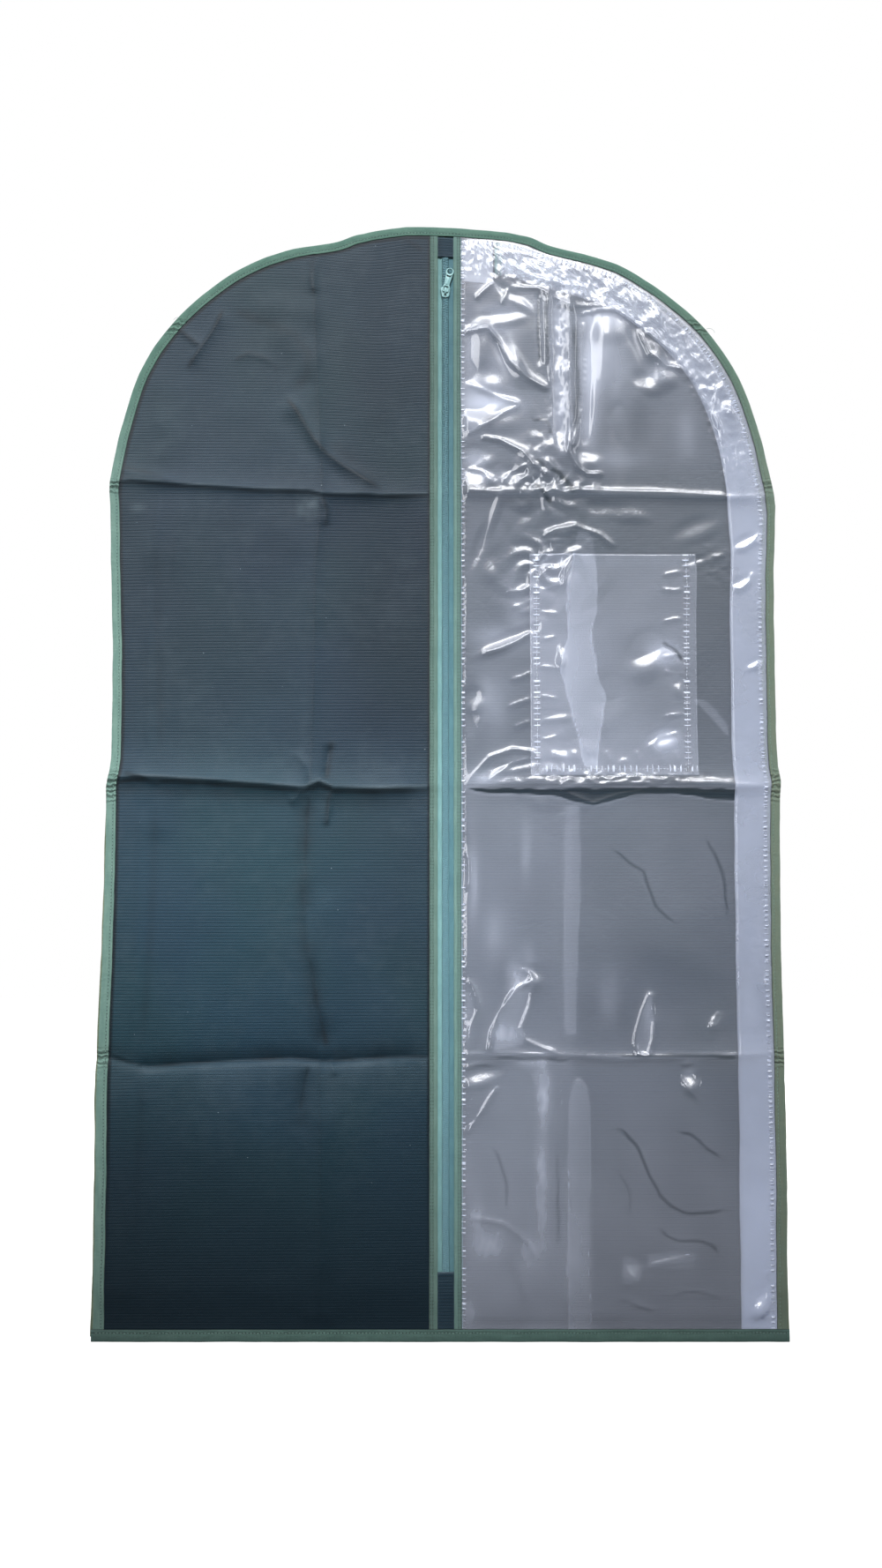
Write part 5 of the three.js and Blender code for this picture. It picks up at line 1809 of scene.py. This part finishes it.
def pocket():
    rows = row_heights(*POCKET_Z, fine=1.4, coarse=1.4)
    obj, verts = sheet("pocket_film", MAT["film_pocket"], rows, *POCKET_X,
                       np.linspace(0, 1, 110), y_front=-3.55, y_back=-3.25,
                       extra=pocket_extra, seam=pocket_seam, attrs={"haze_shift": cling_and_painted_highlight_map})
    finish(obj, ("right_flap", "pocket"), "pocket_sheet",
           pocket_weight(verts[:, 0], verts[:, 2]))


def zip_tab(word, bottom, top, fold_z):
    """Cloth tab sewn over a zip end."""
    rows, columns = int((top - bottom) / 1.2), 13
    x, z = np.meshgrid(np.linspace(ZIP_X - 7.6, ZIP_X + 7.9, columns),
                       np.linspace(bottom, top, rows))
    relief = height(x, z)
    belly = 0.38 * (1 - ((x - ZIP_X) / 7.9) ** 2)
    belly += 0.22 * np.exp(-((z - fold_z) / 1.3) ** 2)
    belly += -0.10 * np.exp(-((z - fold_z + 3.0) / 1.0) ** 2) + 0.06 * noise(x / 4, z / 5, 83)
    front = hem_squeeze(-2.95, z) - belly - relief
    back = hem_squeeze(-2.60, z) - belly * 0.75 - relief
    verts = np.vstack([np.stack([x, y, z], -1).reshape(-1, 3) for y in (front, back)])
    obj = make("zip_tab_" + word, verts, slab(rows, columns), MAT["cloth_tab"],
               verts[:, [0, 2]])
    finish(obj, "front", "zip_end_tab_" + word)


def label():
    """Blank satin label at the top, with soft diagonal folds."""
    rows, columns = 40, 30
    x, z = np.meshgrid(np.linspace(16.5, 46.8, columns), np.linspace(950.0, 992.0, rows))
    wave = 0.35 * np.exp(-(((x - 16) + (z - 950) * 0.8 - 26) / 3.0) ** 2)
    wave += 0.28 * np.exp(-(((x - 16) - (z - 950) * 0.5 - 4) / 3.5) ** 2)
    wave += 0.12 * fbm(x / 9, z / 12, 2, 87)
    wave += 0.25 * smooth(962, 950, z) * (0.5 + 0.5 * np.sin(x / 4.2))
    front = np.stack([x + 0.5 * noise(z / 11, 0, 5), -0.70 - wave * 0.6 - height(x, z),
                      z + 0.5 * noise(x / 9, 0, 6) * smooth(960, 950, z)], -1).reshape(-1, 3)
    verts = np.vstack([front, front + [0, 0.22, 0]])
    obj = make("label_blank", verts, slab(rows, columns), MAT["label"], verts[:, [0, 2]])
    finish(obj, "root", "care_label")


pocket()
zip_tab("top", 971.8, 990.5, fold_z=973.2)
zip_tab("bottom", 9.0, 59.8, fold_z=57.6)
label()


# ---------------------------------------------------------------------------
# stitches
# ---------------------------------------------------------------------------
def stitches(name, mat, centres, along, length, radius, node, weights=None,
             outwards=-1.0, dip=0.16):
    """Small rounded threads at centres already in place; outwards is the sign of y."""
    out = np.zeros_like(along)
    out[:, 1] = outwards
    out -= along * np.einsum("ij,ij->i", along, out)[:, None]
    out /= np.linalg.norm(out, axis=1)[:, None]
    stations = np.array([-1.0, -0.82, -0.35, 0.35, 0.82, 1.0])
    radii = radius * np.array([0.30, 0.80, 1.0, 1.0, 0.80, 0.30])
    lift = dip * (1 - stations ** 2) - dip * 0.6
    sides = 6
    angle = np.arange(sides) * TAU / sides
    side = np.cross(along, out)
    wide = (1, slice(None), None)
    verts = (centres[:, None, None, :]
             + along[:, None, None, :] * (stations * length / 2)[None, :, None, None]
             + out[:, None, None, :] * lift[None, :, None, None]
             + out[:, None, None, :] * (radii[:, None] * np.cos(angle))[None, :, :, None]
             + side[:, None, None, :] * (radii[:, None] * np.sin(angle))[None, :, :, None])
    per_stitch = len(stations) * sides
    skin = grid_faces(len(stations), sides, wrap_columns=True)
    caps = np.array([np.arange(sides)[::-1], (len(stations) - 1) * sides + np.arange(sides)])
    offsets = (np.arange(len(centres)) * per_stitch)[:, None, None]
    faces = [(skin[None] + offsets).reshape(-1, 4), (caps[None] + offsets).reshape(-1, sides)]
    obj = make(name, verts.reshape(-1, 3), faces, mat, warp=False)
    finish(obj, node, weights=None if weights is None else np.repeat(weights, per_stitch))


def along_path(path, inset, pitch, seed, surface, jitter=0.12):
    """Stitch centres and directions, laid out, and the centres' x and z before that."""
    line = path + normals(path) * inset
    length = arc_length(line)
    count = int(length[-1] / pitch)
    place = (np.arange(count) + 0.5) * pitch

    def point(offset):
        return [np.interp(place + offset, length, line[:, k]) for k in (0, 1)]

    (x, z), (x0, z0), (x1, z1) = point(0.0), point(-0.4), point(0.4)
    stray = np.random.default_rng(seed).normal(0, jitter, count)
    run = np.hypot(x1 - x0, z1 - z0)
    tx, tz = (x1 - x0) / run, (z1 - z0) / run
    x, z = x + tz * stray, z - tx * stray

    def laid(px, pz):
        lx, lz = lay(px, pz)
        return np.stack([lx, surface(px, pz), lz], 1)

    direction = laid(x + tx, z + tz) - laid(x - tx, z - tz)
    direction /= np.linalg.norm(direction, axis=1)[:, None]
    return laid(x, z), direction, x, z


def squeezed_surface(y):
    return lambda x, z: hem_squeeze(y, z) - height(x, z)


def plain_surface(y):
    return lambda x, z: y - height(x, z)


def pocket_surface(x, z):
    return -3.58 - height(x, z) - pocket_extra(x, z)


def shifted(path, shift):
    return path + normals(path) * shift[:, None]


def binding_stitches():
    """Rows on both faces of the outline and of the hem."""
    narrowing = OUTLINE_STITCH * (1 - by_bearing(WIDTH, OUTLINE_LINE[:, 0], OUTLINE_LINE[:, 1]))
    front = shifted(OUTLINE_LINE, side_drift(OUTLINE_LINE, **FRONT_DRIFT) - narrowing)
    back = shifted(OUTLINE_LINE, side_drift(OUTLINE_LINE, **BACK_DRIFT) - BACK_PEEK)
    hem = shifted(HEM_LINE, side_drift(HEM_LINE, **HEM_DRIFT))
    for name, path, inset, seed, surface, outwards, node in (
            ("outline_front", front, OUTLINE_STITCH, 501, squeezed_surface(-3.62), -1.0, "front"),
            ("outline_back", back, OUTLINE_STITCH, 502, squeezed_surface(6.72), 1.0, "root"),
            ("hem_front", hem, HEM_STITCH, 503, plain_surface(-1.20), -1.0, "root"),
            ("hem_back", hem, HEM_STITCH, 504, plain_surface(4.40), 1.0, "root")):
        centres, along, _, _ = along_path(path, inset, 3.0, seed, surface)
        stitches("stitches_" + name, MAT["thread"], centres, along, length=2.45, radius=0.24,
                 node=node, outwards=outwards)


def joined(rows):
    """Join the results of several calls of along_path."""
    return [np.concatenate(column) for column in zip(*rows)]


def zip_stitches(side):
    """Two rows on a zip binding, and the thread that holds the coil on its tape."""
    word = WORDS[side]
    ride = ("front", word + "_flap")
    fold, width = ZIP_EDGE[side]
    path = upright(ZIP_X + side * fold, 14.0, 984.0, 400, side)
    centres, along, x, z = joined([
        along_path(path, inset * width / ZIP_FOLD_W, 2.8, 520 + row + side * 4,
                   squeezed_surface(-3.64), jitter=0.09)
        for row, inset in enumerate(ZIP_STITCHES)])
    stitches("stitches_zip_" + word, MAT["thread_dark"], centres, along, length=2.25,
             radius=0.20, node=ride, weights=flap_weight(x, z))
    centres, along, _, z = along_path(upright(ZIP_X, 60.0, 970.0, 380, side), 3.1, 1.9,
                                      560 + side, squeezed_surface(-2.0), jitter=0.03)
    stitches("coil_thread_" + word, MAT["thread_dark"], centres, along, length=1.7, radius=0.17,
             node=ride, weights=flap_weight(ZIP_X + side * 3.1, z), dip=0.12)


def pocket_stitches():
    """Left, bottom and right seams; the pocket's top stays open."""
    left, right = POCKET_SEAM_X
    top = POCKET_Z[1] - 1.0
    corners = [[left, top], [left, POCKET_SEAM_Z], [right, POCKET_SEAM_Z], [right, top]]
    centres, along, x, z = joined([
        along_path(resample(corners[i:i + 2], 2.0), 0.0, 3.1, 580 + i, pocket_surface)
        for i in range(3)])
    stitches("stitches_pocket", MAT["thread_pale"], centres, along, length=2.3, radius=0.17,
             node=("right_flap", "pocket"), weights=pocket_weight(x, z))


binding_stitches()
for side in (-1, 1):
    zip_stitches(side)
pocket_stitches()


# ---------------------------------------------------------------------------
# slider and pull
# ---------------------------------------------------------------------------
def loop(points, count):
    """Closed smooth loop through the points, about count long."""
    points = np.asarray(points, float)
    return catmull_rom(np.vstack([points[-1:], points, points[:2]]),
                       max(2, count // len(points)))


def offset_loop(points, amount):
    """Move a closed loop outwards."""
    edge = np.roll(points, -1, 0) - np.roll(points, 1, 0)
    edge /= np.hypot(edge[:, 0], edge[:, 1])[:, None]
    normal = np.stack([edge[:, 1], -edge[:, 0]], 1)
    if np.mean(np.einsum("ij,ij->i", normal, points - points.mean(0))) < 0:
        normal = -normal
    return points + normal * amount


def level_ring(points, y):
    return np.stack([points[:, 0], np.full(len(points), y), points[:, 1]], 1)


def plate(outline, levels):
    """Solid from an (x, z) outline; levels are (y, inset)."""
    rings = [level_ring(offset_loop(outline, -inset), y) for y, inset in levels]
    count = len(outline)
    verts = np.vstack(rings + [rings[0].mean(0), rings[-1].mean(0)])
    first, last = len(verts) - 2, len(verts) - 1
    a = np.arange(count)
    b = (a + 1) % count
    top = (len(rings) - 1) * count
    caps = np.vstack([np.stack([np.full(count, first), b, a], 1),
                      np.stack([np.full(count, last), top + a, top + b], 1)])
    return verts, [grid_faces(len(rings), count, wrap_columns=True), caps]


def plate_with_hole(outer, inner, half, bevel):
    """Ring-shaped plate between two loops of equal point count, from y = -half to half."""
    small, large = offset_loop(outer, -bevel), offset_loop(inner, bevel)
    rings = [(small, -half), (outer, -half + bevel), (outer, half - bevel), (small, half),
             (large, half), (inner, half - bevel), (inner, -half + bevel), (large, -half)]
    verts = np.vstack([level_ring(points, y) for points, y in rings])
    return verts, [grid_faces(len(rings), len(outer), wrap_columns=True, wrap_rows=True)]


SLIDER_Z = 938.0
PIVOT = np.array([ZIP_X, -5.15, SLIDER_Z])
# slider and pull follow the laid-out zip sideways only, and keep the height of the joint's axis
SIDE_SHIFT = lay(ZIP_X, SLIDER_Z)[0] - ZIP_X
PULL_TURN = math.radians(13.0)

SLIDER_OUTLINE = [
    (0, 5.4), (2.2, 5.1), (4.1, 4.3), (4.5, 2.4), (4.0, 0.2), (3.4, -2.4), (3.0, -4.4),
    (1.7, -5.1), (0, -5.3), (-1.7, -5.1), (-3.0, -4.4), (-3.4, -2.4), (-4.0, 0.2),
    (-4.5, 2.4), (-4.1, 4.3), (-2.2, 5.1)]
WEDGE_OUTLINE = [(0.55, 0), (0.38, 1.5), (0, 2.0), (-0.38, 1.5), (-0.55, 0), (-0.3, -1.5),
                 (0, -1.9), (0.3, -1.5)]
# plates as (y, inset)
FRONT_PLATE = [(-3.45, 0.22), (-3.52, 0.05), (-3.75, 0.0), (-4.05, 0.05), (-4.24, 0.25),
               (-4.34, 0.6), (-4.38, 1.4)]
REAR_PLATE = [(-0.85, 0.12), (-0.80, 0.0), (-0.45, 0.0), (-0.28, 0.2), (-0.25, 0.5)]
# side flange: distance from the zip, y, z from the slider's middle
FLANGE = [(4.28, -3.55, 1.6), (3.9, -3.5, -0.8), (3.45, -3.5, -3.2), (3.12, -3.5, -4.8)]


def crown():
    """Arched strap over the pull's eye."""
    count = 25
    angle = np.linspace(0, math.pi, count)
    line = np.stack([np.full(count, ZIP_X), -4.15 - 2.45 * np.sin(angle) ** 0.75,
                     SLIDER_Z - 3.6 * np.cos(angle)], 1)
    tangent = np.gradient(line, axis=0)
    tangent /= np.linalg.norm(tangent, axis=1)[:, None]
    normal = np.cross(tangent, np.array([1.0, 0, 0]))
    wide, thick = 0.92, 0.34  # halves
    section = [(wide * 0.72, thick), (wide, thick * 0.4), (wide, -thick * 0.4),
               (wide * 0.72, -thick), (-wide * 0.72, -thick), (-wide, -thick * 0.4),
               (-wide, thick * 0.4), (-wide * 0.72, thick)]
    verts = np.array([[point + np.array([a, 0, 0]) + up * b for a, b in section]
                      for point, up in zip(line, normal)]).reshape(-1, 3)
    cap = np.arange(8)
    return verts, [grid_faces(count, 8, wrap_columns=True), np.array([cap[::-1]]),
                   np.array([(count - 1) * 8 + cap])]


def slider():
    outline = loop(SLIDER_OUTLINE, 64) + [ZIP_X, SLIDER_Z - 0.6]
    wedge = loop(WEDGE_OUTLINE, 24) + [ZIP_X, SLIDER_Z + 2.6]
    parts = [plate(outline, FRONT_PLATE), plate(outline, REAR_PLATE),
             plate(wedge, [(-3.6, 0.0), (-0.7, 0.0)])]
    for side in (-1, 1):
        line = [(ZIP_X + side * away, y, SLIDER_Z + z) for away, y, z in FLANGE]
        parts.append(tube(line, 0.26, 8))
    parts.append(crown())
    verts, faces = merge(parts)
    verts[:, 0] += SIDE_SHIFT
    obj = make("slider_with_crown", verts, faces, MAT["enamel"], warp=False)
    finish(obj, "slider", "slider_body")


# outlines of the pull, (x, z) from its pivot
STEM = [(0, 15.4), (2.7, 15.8), (3.2, 14.0), (2.9, 11.0), (2.6, 7.5), (2.4, 5.3), (0, 4.9),
        (-2.4, 5.3), (-2.6, 7.5), (-2.9, 11.0), (-3.2, 14.0), (-2.7, 15.8)]
STEM_LEVELS = [(-0.5, 0.60), (-0.30, 0.18), (-0.1, 0), (0.1, 0), (0.30, 0.18), (0.5, 0.60)]
STEM_RIDGE = [(0, 13.4), (1.3, 12.8), (1.2, 9), (1.1, 6.2), (0, 5.6), (-1.1, 6.2), (-1.2, 9),
              (-1.3, 12.8)]
EYE_OUTER = [(0, 5.9), (2.6, 5.6), (3.0, 3.8), (2.9, 0.4), (2.2, -0.8), (0, -1.0),
             (-2.2, -0.8), (-2.9, 0.4), (-3.0, 3.8), (-2.6, 5.6)]
EYE_INNER = [(0, 4.35), (1.75, 4.15), (2.1, 3.2), (2.05, 0.9), (1.7, 0.25), (0, 0.10),
             (-1.7, 0.25), (-2.05, 0.9), (-2.1, 3.2), (-1.75, 4.15)]
HEAD_Z = 18.4
HEAD_HOLE = 2.15


def pull():
    """Flat tongue with a round hole at its tip and an eye at the crown, turned in its plane."""
    angle = np.linspace(0, TAU, 48, endpoint=False) - math.pi / 2
    head = np.stack([3.95 * np.cos(angle), HEAD_Z + 3.7 * np.sin(angle)], 1)
    low = head[:, 1] < HEAD_Z - 1.2  # drawn out towards the stem
    head[low, 1] -= (HEAD_Z - 1.2 - head[low, 1]) * 0.9
    hole = np.stack([HEAD_HOLE * np.cos(angle), HEAD_Z + 0.3 + HEAD_HOLE * np.sin(angle)], 1)
    verts, faces = merge([
        plate_with_hole(head, hole, half=0.5, bevel=0.46),
        plate(loop(STEM, 48), STEM_LEVELS),
        plate(loop(STEM_RIDGE, 24), [(-0.45, 0.0), (-0.62, 0.05), (-0.70, 0.25)]),
        plate_with_hole(loop(EYE_OUTER, 40), loop(EYE_INNER, 40), half=0.45, bevel=0.14)])
    cos, sin = math.cos(PULL_TURN), math.sin(PULL_TURN)
    x, z = verts[:, 0].copy(), verts[:, 2].copy()
    verts[:, 0] = x * cos + z * sin
    verts[:, 2] = -x * sin + z * cos
    verts = verts + PIVOT + np.array([SIDE_SHIFT, 0.0, 0.0])
    obj = make("pull_tongue", verts, faces, MAT["enamel"], warp=False)
    finish(obj, "pull", "pull_tab")


slider()
pull()

# ---------------------------------------------------------------------------
# loose thread ends
# ---------------------------------------------------------------------------
# across, down, length, heading and curl in radians, seed, y
STRANDS = [(207, 362, 9, 2.6, 1.4, 1, -4.1), (800, 374, 10, 0.4, -1.6, 2, -4.1),
           (112, 1220, 7, 2.0, 1.2, 3, -3.6), (883, 1446, 6, 0.2, 1.5, 4, -3.5)]


def strand(across, down, length, heading, curl, seed, y):
    x, z = face_point(across, down)
    count = 16
    angle = heading + np.linspace(0, curl, count)
    step = length / count
    bow = 0.6 * np.sin(np.linspace(0, math.pi * 0.8, count))
    line = np.stack([x + np.cumsum(np.cos(angle)) * step,
                     y - bow + 0.2 * noise(np.arange(count) / 4.0, seed, seed),
                     z + np.cumsum(np.sin(angle)) * step], 1)
    return tube(line, 0.13, 6)


def loose_threads():
    verts, faces = merge([strand(*row) for row in STRANDS])
    obj = make("loose_threads", verts, faces, MAT["thread"], warp=False)
    finish(obj, "front")


loose_threads()


# ---------------------------------------------------------------------------
# floor, light, camera (metres from here on)
# ---------------------------------------------------------------------------
def floor():
    """Nearly white to the camera, a dim grey to every other ray."""
    mesh = bpy.data.meshes.new("floor")
    half, z = 9.0, -0.003
    mesh.from_pydata([(-half, -half, z), (half, -half, z), (half, half, z), (-half, half, z)],
                     [], [(0, 1, 2, 3)])
    obj = bpy.data.objects.new("floor", mesh)
    bpy.context.scene.collection.objects.link(obj)
    mat, net = material("pale_floor")
    away = net.value("ShaderNodeVectorMath", {0: net.coordinate("Object")}, out="Value",
                     operation="LENGTH")
    white = net.value("ShaderNodeEmission",
                      {0: (1, 1, 1), 1: net.step(away, 0.30, 0.8, low=0.86, high=1.03)})
    shadowed = net.bsdf("Diffuse", Color=(0.42, 0.42, 0.42))
    dim = net.bsdf("Diffuse", Color=(0.25, 0.25, 0.25))
    seen = net.value("ShaderNodeAddShader", {0: white, 1: shadowed})
    camera_ray = net.value("ShaderNodeLightPath", out="Is Camera Ray")
    net.surface(net.mix_shader(camera_ray, dim, seen))
    mesh.materials.append(mat)


# position and brightness of the sky from straight down to straight up
SKY = [(0.0, 0.04), (0.36, 0.06), (0.46, 0.10), (0.54, 0.30), (0.66, 0.75), (1.0, 0.85)]


def world():
    """Studio surroundings: a vertical gradient with bright windows, seen in reflections."""
    studio = bpy.data.worlds.new("studio")
    bpy.context.scene.world = studio
    studio.use_nodes = True
    net = Net(studio.node_tree, "ShaderNodeOutputWorld")
    x, y, z = net.xyz(net.coordinate("Generated"))
    degrees = 180 / math.pi
    elevation = net.math("ARCSINE", z) * degrees
    front = net.math("ARCTAN2", x, y * -1.0) * degrees  # 0 towards the viewer
    back = net.math("ARCTAN2", x, y) * degrees

    def window(azimuth, left, right, bottom, top, soft):
        wide = (net.step(azimuth, left - soft, left + soft)
                * net.step(azimuth, right + soft, right - soft))
        high = (net.step(elevation, bottom - soft, bottom + soft)
                * net.step(elevation, top + soft, top - soft))
        return wide * high

    gradient = net.node("ShaderNodeValToRGB")
    net.set(gradient.inputs[0], net.math("MULTIPLY_ADD", z, 0.5, 0.5))
    ramp = gradient.color_ramp
    ramp.interpolation = "EASE"
    while len(ramp.elements) < len(SKY):
        ramp.elements.new(0.5)
    for element, (position, level) in zip(ramp.elements, SKY):
        element.position = position
        element.color = (level, level, level * 1.02, 1)
    total = net.xyz(Value(net, gradient.outputs[0]))[0]
    # azimuth, its range, elevation range and softness in degrees; brightness
    for args, power in (
        ((front, -17, 13, 28, 40, 4.0), 7.5),    # soft box above the camera
        ((front, -32, 27, 27, 54, 10.0), 4.0),   # and the bright ceiling around it
        ((front, -35, -22, -27, 46, 3.0), 4.2),  # tall window to the left
        ((front, 44, 54, -24, 26, 2.0), 2.2),    # and a narrower one to the right
        ((front, -60, 60, 58, 61, 0.8), 9.0),    # lamp tube overhead
        ((front, -78, -66, -5, 36, 2.0), 3.0),   # narrow window far to the left
        ((back, -50, 50, 20, 52, 6.0), 1.8),     # broad window behind the bag
    ):
        total = total + window(*args) * power
    camera_ray = net.value("ShaderNodeLightPath", out="Is Camera Ray")
    colour = net.mix(camera_ray, net.combine(total, total, total * 1.03), (1, 1, 1))
    net.surface(net.value("ShaderNodeBackground", {0: colour, 1: 1.0}))
    studio.cycles_visibility.diffuse = False
    studio.cycles.sampling_method = "MANUAL"
    studio.cycles.sample_map_resolution = 1024


def look_along(obj, direction):
    obj.rotation_mode = "QUATERNION"
    obj.rotation_quaternion = direction.to_track_quat("-Z", "Y")


def lamp(name, place, target, watts, size=None, cone=None):
    """Soft lamp for the diffuse light; mirrored highlights come from the world's windows.

    An area lamp of a size, or a spot with a cone in degrees.
    """
    light = bpy.data.lights.new(name, "AREA" if size else "SPOT")
    light.energy = watts
    if size:
        light.shape = "RECTANGLE"
        light.size, light.size_y = size
    else:
        light.spot_size = math.radians(cone)
        light.spot_blend = 0.42
        light.shadow_soft_size = 0.16
    obj = bpy.data.objects.new(name, light)
    bpy.context.scene.collection.objects.link(obj)
    obj.location = place
    look_along(obj, Vector(target) - Vector(place))
    obj.visible_glossy = False


def camera():
    data = bpy.data.cameras.new("view")
    obj = bpy.data.objects.new("view", data)
    bpy.context.scene.collection.objects.link(obj)
    bpy.context.scene.camera = obj
    target = Vector((-0.0015, -0.0032, 0.4848))
    direction = Vector((0.0, math.cos(VIEW_TILT), math.sin(VIEW_TILT)))
    obj.location = target - direction * (VIEW_DISTANCE * MM)
    look_along(obj, direction)
    data.sensor_fit = "AUTO"
    data.sensor_width = 36.0
    data.lens = data.sensor_width * VIEW_FOCUS / VIEW_SIZE[1]
    data.clip_start, data.clip_end = 0.05, 60.0


floor()
world()
lamp("top_box", (0.12, -1.1, 1.9), (0.1, 0.0, 0.7), watts=7.0, size=(1.7, 0.8))
lamp("front_fill", (-0.5, -2.7, 1.7), (0.0, 0.0, 0.55), watts=23.5, size=(2.4, 2.0))
lamp("front_spot", (0.25, -2.6, 3.2), (0.05, 0.0, 0.97), watts=560.0, cone=21.0)
lamp("mid_spot_left", (-0.1, -2.6, 2.4), (-0.16, 0.0, 0.40), watts=350.0, cone=11.5)
lamp("mid_spot_right", (0.2, -2.6, 2.4), (0.17, 0.0, 0.28), watts=150.0, cone=13.0)
lamp("back_fill", (0.9, 2.5, 1.7), (0.0, 0.0, 0.5), watts=80.0, size=(2.4, 2.0))
lamp("left_fill", (-2.6, 0.3, 1.2), (0.0, 0.0, 0.5), watts=30.0, size=(1.6, 1.6))
lamp("right_fill", (2.6, 0.3, 1.2), (0.0, 0.0, 0.5), watts=30.0, size=(1.6, 1.6))
camera()

scene = bpy.context.scene
scene.view_settings.view_transform = "Standard"
scene.view_settings.look = "None"
scene.cycles.transparent_max_bounces = 28
scene.cycles.max_bounces = 8
scene.cycles.sample_clamp_indirect = 6.0
